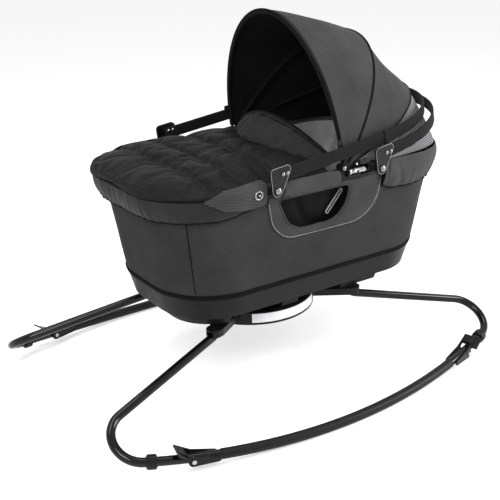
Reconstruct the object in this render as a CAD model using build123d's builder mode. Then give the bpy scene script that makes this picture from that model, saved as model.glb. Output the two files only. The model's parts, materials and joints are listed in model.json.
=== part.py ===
from build123d import *
import os
from math import asin, atan2, cos, degrees, hypot, radians, sin, sqrt

os.makedirs("parts", exist_ok=True)

# Travel bassinet on a rocking base.
# The origin is on the floor under the turning axis of the base, +X points to the head end.
# Lengths are in millimetres and angles in degrees.

# Shared fits
overrun = 5.0
seat_gap = 0.3
bore_fit = 0.05

# Rocker rails, one on each side, bowed outward and risen at their ends
rail_half_chord = 446.0
rail_end_half_track = 312.0
rail_bow = 69.0
rail_rise = 29.0
tube_diameter = 19.0
tube_wall = 1.5
sleeve_wall = 1.4
sleeve_half_span = 312.0
collar_diameter = 30.0
collar_length = 20.0
collar_chamfer = 2.5

# Arms from the rail collars up to the hub
knee_run = 179.0
knee_radius = 58.0
arm_top_x = 183.6
arm_top_y = 138.1
arm_bend_z = 162.9
arm_bend_radius = 20.0

# Hub
hub_radius = 146.0
hub_bottom_z = 147.0
hub_side_top_z = 176.0
hub_top_z = 180.0
hub_bevel = 8.0
hub_skirt_wall = 12.0
hub_cavity_height = 14.0
band_low_z = 152.0
band_high_z = 174.0
band_recess = 1.0
band_thickness = 0.9
band_start_angle = -124.6
band_end_angle = -48.0
cover_thickness = 3.0
cover_screw_inset = 46.0
cover_screw_turn = 45.0
cover_screw_head = 10.0
cover_screw_head_height = 2.0
cover_screw_shank = 4.0
cover_screw_length = 9.0
cover_post_radius = 6.0
band_end_gap_angle = 1.0

# Hub arms that hold the tube tops
socket_diameter = 34.0
socket_low_z = 163.0
socket_lead = 8.5
socket_top_z = 179.0
hub_arm_low_z = 163.0
hub_arm_width = 64.0
tube_top_z = 176.0

# Turntable and the docking ring of the tub
spindle_diameter = 44.0
turntable_radius = 128.0
turntable_low_gap = 0.6
turntable_flange_top_z = 188.0
turntable_post_radius = 100.0
turntable_post_top_z = 200.0
turntable_chamfer = 3.0
dock_wall = 37.6
dock_gap = 0.4
dock_low_gap = 0.6
lever_width = 44.0
lever_height = 7.0
lever_gap = 0.3
lever_out = 12.0
lever_pad_thickness = 5.0
lever_pad_height = 11.0
lever_low_z = 192.5

# Flip-out feet on the rails
foot_x = 370.0
foot_pin_diameter = 6.0
foot_pin_head = 9.0
foot_pin_head_height = 2.0
foot_cheek = 3.6
foot_cheek_gap = 1.9
foot_eye_radius = 11.0
foot_leg_length = 50.0
foot_tip_radius = 5.5
foot_bridge_start = 17.0
foot_bridge_gap = 1.2
foot_pedal_length = 36.0
foot_pedal_reach = 13.0
foot_pedal_thickness = 4.0
foot_pedal_lift = 22.0
foot_pedal_start = 13.0

# Tub outline, as half length, half width and corner radius at four heights
tub_x = 63.0
tray_bottom_z = 205.0
tray_bottom_inset = 6.0
crease_z = 208.0
crease_half_length = 327.0
crease_half_width = 170.0
crease_radius = 125.0
seam_z = 268.0
seam_half_length = 344.0
seam_half_width = 187.0
seam_radius = 143.0
rim_z = 487.0
rim_half_length = 374.0
rim_half_width = 206.0
rim_radius = 135.0

# Tray
tray_wall = 4.0
tray_floor = 6.0
tray_foot_bottom_z = 184.0
tray_foot_near_x = 152.0
tray_foot_far_x = 255.0
tray_foot_inset = 20.0
tray_foot_top_inset = 9.0
tray_foot_corner = 12.0
binding_height = 11.0
binding_thickness = 2.0

# Fabric wall, rim tube, liner and bed
wall_thickness = 4.0
rim_tube_diameter = 16.0
rim_tube_z = 480.0
liner_thickness = 2.5
liner_gap = 14.5
liner_top_z = 490.0
board_thickness = 4.0
mattress_thickness = 30.0
mattress_crown = 8.0
mattress_gap = 6.0
mattress_edge = 9.0
mattress_crown_inset = 70.0

# Hand opening and its stitched panel
hand_top_foot_x = -66.0
hand_low_foot_x = -18.0
hand_low_head_x = 92.0
hand_top_head_x = 121.0
hand_low_z = 384.0
hand_top_z = 457.0
hand_corner = 34.0
hand_top_corner = 10.0
panel_top_foot_x = -94.0
panel_low_foot_x = -46.0
panel_low_head_x = 158.0
panel_top_head_x = 215.0
panel_low_z = 365.0
panel_top_z = 464.0
panel_corner = 48.0
panel_top_corner = 8.0
panel_thickness = 1.6
loop_length = 64.0
loop_width = 10.0
loop_wire = 2.0
loop_x = 97.0
loop_z = 416.0
loop_angle = 52.0

# Padded grab bars
bar_start_x = -66.0
bar_end_x = 84.0
bar_z = 480.0
bar_half_height = 19.0
bar_half_depth = 11.0
bar_gap = 0.5
bar_taper = 10.0
bar_end_share = 0.86

# Carry bails: flat bands on pivots at the rim
front_pivot_x = -87.0
rear_pivot_x = 184.0
bail_pivot_z = 487.0
band_width = 27.0
bail_thickness = 5.0
front_tilt = 7.0
front_offset = 26.0
front_half_width = 224.5
front_reach = 553.0
front_end_reach = 300.0
rear_tilt = 9.5
rear_offset = 29.5
rear_half_width = 230.7
rear_reach = 303.0
rear_end_reach = 261.0
bail_leg_start = 8.0
plate_thickness = 4.6
plate_eye_radius = 13.0
plate_corner_radius = 10.0
plate_back = 3.0
plate_rise = 38.0
plate_front = 27.0
plate_gap = 0.2
pivot_boss_radius = 10.0
pin_diameter = 8.0
pin_head_diameter = 14.0
pin_head_height = 2.6
lug_radius = 12.0
lug_face_gap = 0.4
rivet_shank = 5.0
rivet_head = 8.5
rivet_head_height = 2.2
rivet_tail_height = 0.7
rivet_first_x = 16.0
rivet_second_x = 27.5
rivet_first_rise = 31.5
rivet_second_rise = 30.5
keeper_s = 297.0
keeper_length = 12.0
keeper_thickness = 0.7
keeper_gap = 0.15

# Canopy: hoops that share one pivot axis across the tub
canopy_x = 98.0
canopy_z = 497.0
canopy_half_width = 216.5
canopy_shell = 2.0
canopy_hem = 30.0
front_bow_tilt = 98.5
front_bow_reach = 315.0
mid_bow_tilt = 55.0
mid_bow_reach = 302.0
rear_hoop_tilt = 21.0
rear_hoop_reach = 339.0
rim_hoop_reach = 344.0
rear_hoop_power = 2.2
rear_hoop_start_angle = 22.0
rear_panel_top_hem = 40.0
rear_panel_mid_tilt = 10.0
rear_panel_mid_reach = 342.0
rear_panel_mid_power = 2.5
rear_panel_mid_hem = 76.0
rim_hoop_power = 4.0
rear_panel_hem = 112.0
panel_split_angle = 0.25
panel_sag_share = 0.015
panel_steps = 4
hoop_steps = 12
bow_diameter = 7.0
mid_bow_inset = 10.1
bow_start_angle = 0.9
eye_radius = 8.0
eye_thickness = 7.4
canopy_pin_diameter = 5.0
canopy_pin_head = 10.0
canopy_pin_head_height = 1.6
hinge_plate_start_x = 86.5
hinge_plate_end_x = 150.0
hinge_plate_low_z = 472.0
hinge_plate_top_z = 506.0
hinge_plate_corner = 6.0
hinge_housing_start_x = 111.0
hinge_housing_end_x = 146.0
hinge_housing_top_z = 491.0
hinge_housing_depth = 6.0
hinge_slot_length = 22.0
hinge_slot_width = 8.0
bow_plate_rise = 47.0
bow_plate_length = 34.0
bow_plate_width = 11.0
bow_plate_thickness = 1.6
bow_plate_gap = 0.8

# Foot cover: padded top, gathered skirt, side snaps and raised collar
cover_overhang = 12.0
cover_low_z = 487.6
cover_edge_height = 10.0
cover_thickness_mid = 13.0
cover_end_crown = 8.0
cover_full_crown = 32.0
cover_groove = 6.0
cover_side_x = -104.0
cover_inner_half_width = 202.0
cover_head_x = 18.0
cover_foot_inset = 4.0
cover_rise_share = 0.6
cover_puff_shares = [
    (0, 0), (0.06, 0.1), (0.16, 0), (0.28, 1), (0.40, 0), (0.50, 0.9), (0.626, 0.15),
    (0.646, 0), (0.75, 1), (0.88, 0), (1, 0.4),
]
skirt_low_z = 441.0
skirt_thickness = 5.0
skirt_low_offset = 8.5
tab_length = 56.0
tab_height = 32.0
tab_thickness = 1.6
tab_corner = 12.0
tab_z = 478.0
snap_x = -125.0
snap_radius = 10.0
snap_hole_radius = 5.0
snap_thickness = 1.2
snap_stud_radius = 3.6
flap_low_x = -9.0
flap_low_z = 529.3
flap_high_x = 57.0
flap_high_z = 579.0
flap_end_y = 200.0
flap_end_low_x = 60.0
flap_end_low_z = 501.5
flap_end_high_x = 84.0
flap_end_high_z = 509.0
flap_thickness = 8.0
collar_steps = 4

# Gathered cover round the head end
head_cover_start_x = 214.0
head_cover_low_z = 424.0
head_cover_low_offset = 6.0
head_cover_mid_z = 466.0
head_cover_mid_offset = 16.0
head_cover_top_offset = 8.0
head_cover_thickness = 5.0

tube_radius = tube_diameter / 2
sleeve_radius = tube_radius + sleeve_wall
rail_mid_z = sleeve_radius
rail_mid_y = rail_end_half_track + rail_bow
rail_sagitta = hypot(rail_bow, rail_rise)
rail_radius = (rail_half_chord**2 + rail_sagitta**2) / (2 * rail_sagitta)
rail_turn = degrees(atan2(rail_half_chord, rail_radius - rail_sagitta))


def save(piece, name):
    """Label a finished piece and write it under its own name."""
    piece.part.label = name
    export_step(piece.part, f"parts/{name}.step")


def far_copy(piece):
    """The same piece on the far side of the tub."""
    with BuildPart() as copy:
        mirror(piece.part, about=Plane.XZ)
    return copy


def both_sides(piece):
    """The near piece and its far copy in one group."""
    with BuildPart() as pair:
        add(piece.part)
        mirror(piece.part, about=Plane.XZ)
    return pair


def four_corners(piece):
    """A piece repeated at the four corners of the base."""
    with BuildPart() as group:
        add(piece.part)
        mirror(piece.part, about=Plane.YZ)
        mirror(group.part, about=Plane.XZ)
    return group


def rail_point(turn, side=-1):
    """A point of the rail's arc, by its turn from the middle."""
    drop = rail_radius * (1 - cos(radians(turn))) / rail_sagitta
    x = rail_radius * sin(radians(turn))
    return Vector(x, side * (rail_mid_y - drop * rail_bow), rail_mid_z + drop * rail_rise)


def rail_direction(turn, side=-1):
    """Unit tangent of the rail's arc toward +X."""
    slope = sin(radians(turn)) / rail_sagitta
    return Vector(cos(radians(turn)), -side * slope * rail_bow, slope * rail_rise)


def turn_at(x):
    """The turn at which the rail passes a distance along X."""
    return degrees(atan2(x, sqrt(rail_radius**2 - x**2)))


def outline(z):
    """Half length, half width and corner radius of the tub's outside at a height."""
    levels = [
        (tray_bottom_z, crease_half_length - tray_bottom_inset,
         crease_half_width - tray_bottom_inset, crease_radius - tray_bottom_inset),
        (crease_z, crease_half_length, crease_half_width, crease_radius),
        (seam_z, seam_half_length, seam_half_width, seam_radius),
        (rim_z, rim_half_length, rim_half_width, rim_radius),
    ]
    low, high = levels[0], levels[1]
    for first, second in zip(levels[1:], levels[2:]):
        if z > first[0]:
            low, high = first, second
    share = (z - low[0]) / (high[0] - low[0])
    return [a + share * (b - a) for a, b in zip(low[1:], high[1:])]


def tub_ring(z, grow, height=None):
    """The tub's outline at a height, grown outward, as a sketch."""
    half_length, half_width, radius = outline(z)
    with BuildSketch(Plane.XY.offset(z if height is None else height)) as ring:
        with Locations((tub_x, 0)):
            RectangleRounded(2 * (half_length + grow), 2 * (half_width + grow), radius + grow)
    return ring.sketch


def arc_tube(line, outer, inner=None):
    """A round section swept along one line or wire, hollow if it has an inner radius."""
    start = Plane(origin=line @ 0, z_dir=line % 0)
    with BuildPart() as tube:
        with BuildSketch(start):
            Circle(outer)
            if inner is not None:
                Circle(inner, mode=Mode.SUBTRACT)
        sweep(path=line)
    return tube


# Rocker rails

def rail_line(turn):
    with BuildLine() as line:
        ThreePointArc(rail_point(-turn), rail_point(0), rail_point(turn))
    return line.wire()


rail_tube = arc_tube(rail_line(rail_turn), tube_radius, tube_radius - tube_wall)

rail_sleeve = arc_tube(rail_line(turn_at(sleeve_half_span)), sleeve_radius, tube_radius + bore_fit)
save(rail_sleeve, "rail_sleeve_near")
save(far_copy(rail_sleeve), "rail_sleeve_far")

# Arms, one to each corner of the base
arm_start = rail_point(rail_turn)
arm_knee = arm_start + rail_direction(rail_turn) * knee_run
arm_bend = Vector(arm_top_x, -arm_top_y, arm_bend_z)
arm_top = Vector(arm_top_x, -arm_top_y, tube_top_z)
with BuildLine() as arm_line:
    FilletPolyline(arm_start, arm_knee, arm_bend, arm_top + Vector(0, 0, arm_bend_radius),
                   radius=[knee_radius, arm_bend_radius])
with BuildPart() as arm_tube:
    with BuildSketch(Plane(origin=arm_line.wire() @ 0, z_dir=arm_line.wire() % 0)):
        Circle(tube_radius)
        Circle(tube_radius - tube_wall, mode=Mode.SUBTRACT)
    sweep(path=arm_line.wire())
    split(bisect_by=Plane.XY.offset(tube_top_z), keep=Keep.BOTTOM)

arm_head_far = far_copy(arm_tube)
save(arm_tube, "arm_tube_head_near")
save(arm_head_far, "arm_tube_head_far")
for source, name in ((arm_tube, "arm_tube_foot_near"), (arm_head_far, "arm_tube_foot_far")):
    with BuildPart() as arm_copy:
        mirror(source.part, about=Plane.YZ)
    save(arm_copy, name)

collar_axis = rail_direction(rail_turn)
with BuildPart() as collar:
    with BuildSketch(Plane(origin=arm_start - collar_axis * (collar_length / 2), z_dir=collar_axis)):
        Circle(collar_diameter / 2)
    extrude(amount=collar_length)
    chamfer(collar.edges().filter_by(GeomType.CIRCLE), collar_chamfer)
    with BuildSketch(Plane(origin=arm_start - collar_axis * collar_length, z_dir=collar_axis)):
        Circle(tube_radius + seat_gap)
    extrude(amount=2 * collar_length, mode=Mode.SUBTRACT)
save(four_corners(collar), "rail_collars")

# Hub drum with a bore for the turntable's spindle
spindle_radius = spindle_diameter / 2
screw_ring = hub_radius - cover_screw_inset
with BuildPart() as hub_drum:
    with BuildSketch(Plane.XZ):
        with BuildLine():
            Polyline(
                (0, hub_bottom_z),
                (hub_radius, hub_bottom_z),
                (hub_radius, hub_side_top_z),
                (hub_radius - hub_bevel, hub_top_z),
                (0, hub_top_z),
                close=True,
            )
        make_face()
    revolve(axis=Axis.Z)
    with BuildSketch(Plane.XY.offset(hub_bottom_z - overrun)):
        Circle(hub_radius - hub_skirt_wall)
    extrude(amount=overrun + hub_cavity_height, mode=Mode.SUBTRACT)
    with BuildSketch(Plane.XY.offset(hub_bottom_z)):
        Circle(spindle_radius + hub_skirt_wall)
    extrude(amount=hub_cavity_height)
    with BuildSketch(Plane.XY.offset(hub_bottom_z - overrun)):
        Circle(spindle_radius + bore_fit)
    extrude(amount=hub_top_z - hub_bottom_z + 2 * overrun, mode=Mode.SUBTRACT)
    with BuildSketch(Plane.XY.offset(band_low_z)):
        Circle(hub_radius + overrun)
        Circle(hub_radius - band_recess, mode=Mode.SUBTRACT)
        with BuildLine():
            Polyline(
                (0, 0),
                (3 * hub_radius * cos(radians(band_start_angle)),
                 3 * hub_radius * sin(radians(band_start_angle))),
                (3 * hub_radius * cos(radians(band_end_angle)),
                 3 * hub_radius * sin(radians(band_end_angle))),
                close=True,
            )
        make_face(mode=Mode.INTERSECT)
    extrude(amount=band_high_z - band_low_z, mode=Mode.SUBTRACT)
    with BuildSketch(Plane.XY.offset(hub_bottom_z + cover_thickness + seat_gap)):
        with PolarLocations(screw_ring, 4, start_angle=cover_screw_turn):
            Circle(cover_post_radius)
    extrude(amount=hub_cavity_height - cover_thickness - seat_gap)
    with BuildSketch(Plane.XY.offset(hub_bottom_z)):
        with PolarLocations(screw_ring, 4, start_angle=cover_screw_turn):
            Circle(cover_screw_shank / 2 + bore_fit)
    extrude(amount=cover_screw_length + seat_gap, mode=Mode.SUBTRACT)
save(hub_drum, "hub_drum")

with BuildPart() as hub_cover:
    with BuildSketch(Plane.XY.offset(hub_bottom_z)):
        Circle(hub_radius - hub_skirt_wall - seat_gap)
        Circle(spindle_radius + hub_skirt_wall + seat_gap, mode=Mode.SUBTRACT)
        with PolarLocations(screw_ring, 4, start_angle=cover_screw_turn):
            Circle(cover_screw_shank / 2 + bore_fit, mode=Mode.SUBTRACT)
    extrude(amount=cover_thickness)
save(hub_cover, "hub_cover")

with BuildPart() as hub_screws:
    with BuildSketch(Plane.XY.offset(hub_bottom_z)):
        with PolarLocations(screw_ring, 4, start_angle=cover_screw_turn):
            Circle(cover_screw_head / 2)
    extrude(amount=-cover_screw_head_height)
    with BuildSketch(Plane.XY.offset(hub_bottom_z)):
        with PolarLocations(screw_ring, 4, start_angle=cover_screw_turn):
            Circle(cover_screw_shank / 2)
    extrude(amount=cover_screw_length)
save(hub_screws, "hub_screws")

with BuildPart() as label_band:
    with BuildSketch(Plane.XY.offset(band_low_z + seat_gap)):
        Circle(hub_radius - band_recess + seat_gap / 3 + band_thickness)
        Circle(hub_radius - band_recess + seat_gap / 3, mode=Mode.SUBTRACT)
        with BuildLine():
            Polyline(
                (0, 0),
                (3 * hub_radius * cos(radians(band_start_angle + band_end_gap_angle)),
                 3 * hub_radius * sin(radians(band_start_angle + band_end_gap_angle))),
                (3 * hub_radius * cos(radians(band_end_angle - band_end_gap_angle)),
                 3 * hub_radius * sin(radians(band_end_angle - band_end_gap_angle))),
                close=True,
            )
        make_face(mode=Mode.INTERSECT)
    extrude(amount=band_high_z - band_low_z - 2 * seat_gap)
save(label_band, "label_band")

# Hub arms: webs from the drum that end in noses round the bent tops of the arm tubes
socket_radius = socket_diameter / 2
hub_arm_reach = hypot(arm_top_x, arm_top_y)
lead_direction = Vector(arm_knee.X - arm_bend.X, arm_knee.Y - arm_bend.Y, 0).normalized()
nose = Vector(arm_top_x, -arm_top_y, 0) + lead_direction * socket_lead
groove_end = Vector(arm_top_x, -arm_top_y, 0) + lead_direction * 2 * socket_diameter
arm_plane = Plane(origin=(0, 0, hub_arm_low_z), x_dir=(arm_top_x, -arm_top_y, 0), z_dir=(0, 0, 1))
with BuildPart() as hub_arm:
    with BuildSketch(arm_plane):
        with BuildLine():
            Polyline(
                (0, -hub_arm_width / 2),
                (hub_arm_reach, -socket_radius),
                (hub_arm_reach, socket_radius),
                (0, hub_arm_width / 2),
                close=True,
            )
        make_face()
    extrude(amount=socket_top_z - hub_arm_low_z)
    with BuildSketch(Plane.XY.offset(socket_low_z)):
        with Locations((arm_top_x, -arm_top_y), (nose.X, nose.Y)):
            Circle(socket_radius)
        make_hull()
    extrude(amount=socket_top_z - socket_low_z)
    with BuildSketch(Plane.XY.offset(socket_low_z - overrun)):
        Circle(hub_radius + seat_gap)
    extrude(amount=socket_top_z - socket_low_z + 2 * overrun, mode=Mode.SUBTRACT)
    with BuildSketch(Plane.XY.offset(socket_low_z - overrun)):
        with Locations((arm_top_x, -arm_top_y), (groove_end.X, groove_end.Y)):
            Circle(tube_radius + bore_fit)
        make_hull()
    extrude(amount=tube_top_z + seat_gap - socket_low_z + overrun, mode=Mode.SUBTRACT)
save(four_corners(hub_arm), "hub_arms")

# Turntable: a flange over the drum, a spindle in its bore and a post that the tub sits over
with BuildPart() as turntable:
    with BuildSketch(Plane.XY.offset(hub_top_z + turntable_low_gap)):
        Circle(turntable_radius)
    extrude(amount=turntable_flange_top_z - hub_top_z - turntable_low_gap)
    with BuildSketch(Plane.XY.offset(turntable_flange_top_z)):
        Circle(turntable_post_radius)
    extrude(amount=turntable_post_top_z - turntable_flange_top_z)
    chamfer(turntable.edges().filter_by(GeomType.CIRCLE).sort_by(Axis.Z)[-1], turntable_chamfer)
    with BuildSketch(Plane.XY.offset(hub_bottom_z + cover_thickness)):
        Circle(spindle_radius)
    extrude(amount=hub_top_z + turntable_low_gap - hub_bottom_z - cover_thickness)
save(turntable, "turntable")

# Flip-out feet: a forked leg that straddles the rail, with its two cheeks joined over the rail at the pedal
foot_turn = turn_at(foot_x)
foot_pivot = rail_point(foot_turn)
foot_along = -rail_direction(foot_turn)
foot_inward = foot_along.cross(Vector(0, 0, 1)).normalized()
foot_plane = Plane(origin=foot_pivot, x_dir=foot_along, z_dir=foot_inward)
foot_inner = tube_radius + foot_cheek_gap
foot_outer = foot_inner + foot_cheek
foot_bridge_low = tube_radius + foot_bridge_gap
with BuildPart() as foot:
    with BuildSketch(foot_plane.offset(-foot_outer)):
        Circle(foot_eye_radius)
        with Locations((foot_leg_length, 0)):
            Circle(foot_tip_radius)
        make_hull()
        with BuildLine():
            Polyline(
                (0, 0),
                (-foot_pedal_length, foot_pedal_lift),
                (-foot_pedal_length, foot_pedal_lift + foot_pedal_thickness),
                (0, foot_eye_radius),
                close=True,
            )
        make_face()
    extrude(amount=2 * foot_outer)
    with BuildSketch(foot_plane.offset(-foot_inner)):
        with BuildLine():
            Polyline(
                (2 * foot_leg_length, -2 * foot_eye_radius),
                (2 * foot_leg_length, foot_bridge_low + foot_eye_radius),
                (-foot_bridge_start, foot_bridge_low + foot_eye_radius),
                (-foot_bridge_start, foot_bridge_low),
                (-2 * foot_pedal_length, foot_bridge_low),
                (-2 * foot_pedal_length, -2 * foot_eye_radius),
                close=True,
            )
        make_face()
    extrude(amount=2 * foot_inner, mode=Mode.SUBTRACT)
    with BuildSketch(foot_plane.offset(-foot_outer - foot_pedal_reach)):
        with BuildLine():
            Polyline(
                (-foot_pedal_start, foot_pedal_lift * foot_pedal_start / foot_pedal_length),
                (-foot_pedal_length, foot_pedal_lift),
                (-foot_pedal_length, foot_pedal_lift + foot_pedal_thickness),
                (-foot_pedal_start,
                 foot_pedal_lift * foot_pedal_start / foot_pedal_length + foot_pedal_thickness),
                close=True,
            )
        make_face()
    extrude(amount=foot_pedal_reach + foot_cheek)
    with BuildSketch(foot_plane.offset(-foot_outer - overrun)):
        Circle(foot_pin_diameter / 2 + bore_fit)
    extrude(amount=2 * (foot_outer + overrun), mode=Mode.SUBTRACT)
save(foot, "flip_foot_head_near")
foot_head_far = far_copy(foot)
save(foot_head_far, "flip_foot_head_far")
for source, name in ((foot, "flip_foot_foot_near"), (foot_head_far, "flip_foot_foot_far")):
    with BuildPart() as foot_copy:
        mirror(source.part, about=Plane.YZ)
    save(foot_copy, name)

with BuildPart() as foot_pin:
    with BuildSketch(foot_plane.offset(-foot_outer - seat_gap - foot_pin_head_height)):
        Circle(foot_pin_head / 2)
    extrude(amount=foot_pin_head_height)
    with BuildSketch(foot_plane.offset(foot_outer + seat_gap)):
        Circle(foot_pin_head / 2)
    extrude(amount=foot_pin_head_height)
    with BuildSketch(foot_plane.offset(-foot_outer - seat_gap)):
        Circle(foot_pin_diameter / 2)
    extrude(amount=2 * (foot_outer + seat_gap))
save(four_corners(foot_pin), "foot_pins")

with BuildPart() as rail_tube_near:
    add(rail_tube.part)
    with BuildSketch(foot_plane.offset(-foot_outer)):
        Circle(foot_pin_diameter / 2 + bore_fit)
    extrude(amount=2 * foot_outer, mode=Mode.SUBTRACT)
    mirrored_plane = Plane(
        origin=(-foot_pivot.X, foot_pivot.Y, foot_pivot.Z),
        x_dir=(-foot_along.X, foot_along.Y, foot_along.Z),
        z_dir=(-foot_inward.X, foot_inward.Y, foot_inward.Z),
    )
    with BuildSketch(mirrored_plane.offset(-foot_outer)):
        Circle(foot_pin_diameter / 2 + bore_fit)
    extrude(amount=2 * foot_outer, mode=Mode.SUBTRACT)
save(rail_tube_near, "rail_tube_near")
save(far_copy(rail_tube_near), "rail_tube_far")

# Docking ring under the tub, with two release levers that slide in it
dock_low_z = turntable_flange_top_z + dock_low_gap
dock_inner_radius = turntable_post_radius + dock_gap
dock_outer_radius = dock_inner_radius + dock_wall
with BuildPart() as dock_ring:
    with BuildSketch(Plane.XY.offset(dock_low_z)):
        Circle(dock_outer_radius)
        Circle(dock_inner_radius, mode=Mode.SUBTRACT)
    extrude(amount=tray_bottom_z - dock_low_z)
    with BuildSketch(Plane.XY.offset(lever_low_z - lever_gap)):
        Rectangle(lever_width + 2 * lever_gap, 4 * dock_outer_radius)
    extrude(amount=lever_height + 2 * lever_gap, mode=Mode.SUBTRACT)
save(dock_ring, "dock_ring")

with BuildPart() as release_lever:
    with BuildSketch(Plane.XY.offset(lever_low_z)):
        with Locations((0, -(dock_inner_radius + dock_outer_radius + lever_out) / 2)):
            Rectangle(lever_width, dock_outer_radius + lever_out - dock_inner_radius)
    extrude(amount=lever_height)
    with BuildSketch(Plane.XY.offset(lever_low_z - (lever_pad_height - lever_height) / 2)):
        with Locations((0, -dock_outer_radius - lever_out)):
            RectangleRounded(lever_width, 2 * lever_pad_thickness, lever_pad_thickness / 2)
    extrude(amount=lever_pad_height)
save(release_lever, "release_lever_near")
save(far_copy(release_lever), "release_lever_far")

# Moulded tray with two feet under its floor
with BuildPart() as tray:
    loft([tub_ring(tray_bottom_z, -tray_foot_inset, tray_foot_bottom_z),
          tub_ring(tray_bottom_z, -tray_foot_top_inset, crease_z)])
    tray_foot_width = tray_foot_far_x - tray_foot_near_x
    tray_foot_middle = (tray_foot_far_x + tray_foot_near_x) / 2
    with BuildSketch(Plane.XY.offset(tray_foot_bottom_z - overrun)):
        with Locations((tray_foot_middle, 0), (-tray_foot_middle, 0)):
            RectangleRounded(tray_foot_width, 4 * crease_half_width, tray_foot_corner)
    extrude(amount=crease_z - tray_foot_bottom_z + 2 * overrun, mode=Mode.INTERSECT)
    loft([tub_ring(tray_bottom_z, 0), tub_ring(crease_z, 0)])
    loft([tub_ring(crease_z, 0), tub_ring(seam_z, 0)])
    loft([tub_ring(crease_z, -tray_wall, tray_bottom_z + tray_floor), tub_ring(seam_z, -tray_wall)],
         mode=Mode.SUBTRACT)
save(tray, "tray")

with BuildPart() as tray_binding:
    binding_low_z = seam_z - binding_height
    binding_grow = binding_thickness + bore_fit
    loft([tub_ring(binding_low_z, binding_grow), tub_ring(seam_z, binding_grow)])
    loft([tub_ring(binding_low_z, bore_fit), tub_ring(seam_z, bore_fit)], mode=Mode.SUBTRACT)
save(tray_binding, "tray_binding")

# Fabric wall: a plane side that leans outward, with a hand opening on each side
rim_tube_radius = rim_tube_diameter / 2
wall_top_z = rim_tube_z - rim_tube_radius - seat_gap
wall_lean = atan2(rim_half_width - seam_half_width, rim_z - seam_z)


def side_plane(offset):
    """Plane of the near side's outer face, moved outward, with heights from the seam."""
    return Plane(
        origin=(0, -seam_half_width - offset * cos(wall_lean), seam_z - offset * sin(wall_lean)),
        x_dir=(1, 0, 0),
        z_dir=(0, -cos(wall_lean), -sin(wall_lean)),
    )


def along_side(z):
    """Distance up the leaning side from the seam to a height."""
    return (z - seam_z) / cos(wall_lean)


def hand_sketch(plane):
    """The hand opening, wider at its top."""
    with BuildSketch(plane) as opening:
        with BuildLine():
            FilletPolyline(
                (hand_top_foot_x, along_side(hand_top_z)),
                (hand_low_foot_x, along_side(hand_low_z)),
                (hand_low_head_x, along_side(hand_low_z)),
                (hand_top_head_x, along_side(hand_top_z)),
                radius=[hand_top_corner, hand_corner, hand_corner, hand_top_corner],
                close=True,
            )
        make_face()
    return opening.sketch


def side_slab(sketch, thickness):
    """A flat sheet that grows outward from a sketch on the near side."""
    with BuildPart() as slab:
        add(sketch)
        extrude(amount=thickness, dir=side_plane(0).z_dir)
    return slab


hand_cut = side_slab(hand_sketch(side_plane(-wall_thickness - overrun)), wall_thickness + 2 * overrun)
with BuildPart() as fabric_wall:
    loft([tub_ring(seam_z, 0, seam_z + seat_gap), tub_ring(wall_top_z, 0)])
    loft([tub_ring(seam_z, -wall_thickness, seam_z + seat_gap), tub_ring(wall_top_z, -wall_thickness)],
         mode=Mode.SUBTRACT)
    add(hand_cut.part, mode=Mode.SUBTRACT)
    mirror(hand_cut.part, about=Plane.XZ, mode=Mode.SUBTRACT)
save(fabric_wall, "fabric_wall")

# Stitched panel round the hand opening
with BuildSketch(side_plane(bore_fit)) as panel_outline:
    with BuildLine():
        FilletPolyline(
            (panel_top_foot_x, along_side(panel_top_z)),
            (panel_low_foot_x, along_side(panel_low_z)),
            (panel_low_head_x, along_side(panel_low_z)),
            (panel_top_head_x, along_side(panel_top_z)),
            radius=[panel_top_corner, panel_corner, panel_corner, panel_top_corner],
            close=True,
        )
    make_face()
with BuildPart() as hand_panel:
    add(side_slab(panel_outline.sketch, panel_thickness).part)
    add(hand_cut.part, mode=Mode.SUBTRACT)
save(both_sides(hand_panel), "hand_panels")

# Rim tube, in one loop round the top of the wall
rim_inset = rim_tube_radius + seat_gap
rim_length_half, rim_width_half, rim_corner = [size - rim_inset for size in outline(wall_top_z)]
with BuildSketch(Plane.XY.offset(rim_tube_z)) as rim_loop:
    with Locations((tub_x, 0)):
        RectangleRounded(2 * rim_length_half, 2 * rim_width_half, rim_corner)
rim_wire = rim_loop.sketch.face().outer_wire()
with BuildPart() as rim_tube:
    with BuildSketch(Plane(origin=rim_wire @ 0, z_dir=rim_wire % 0)):
        Circle(rim_tube_radius)
    sweep(path=rim_wire)
save(rim_tube, "rim_tube")

# Liner bag, bed board and mattress
liner_grow = -wall_thickness - liner_gap
board_z = tray_bottom_z + tray_floor + seat_gap
liner_floor_z = board_z + board_thickness + seat_gap
with BuildPart() as liner:
    loft([tub_ring(liner_floor_z, liner_grow), tub_ring(seam_z, liner_grow)])
    loft([tub_ring(seam_z, liner_grow), tub_ring(wall_top_z, liner_grow)])
    loft([tub_ring(wall_top_z, liner_grow), tub_ring(wall_top_z, liner_grow, liner_top_z)])
    liner_inside = liner_grow - liner_thickness
    loft([tub_ring(liner_floor_z + liner_thickness, liner_inside), tub_ring(seam_z, liner_inside)],
         mode=Mode.SUBTRACT)
    loft([tub_ring(seam_z, liner_inside), tub_ring(wall_top_z, liner_inside)], mode=Mode.SUBTRACT)
    loft([tub_ring(wall_top_z, liner_inside), tub_ring(wall_top_z, liner_inside, liner_top_z)],
         mode=Mode.SUBTRACT)
save(liner, "liner")

with BuildPart() as bed_board:
    loft([tub_ring(board_z, liner_grow), tub_ring(board_z + board_thickness, liner_grow)])
save(bed_board, "bed_board")

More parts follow.
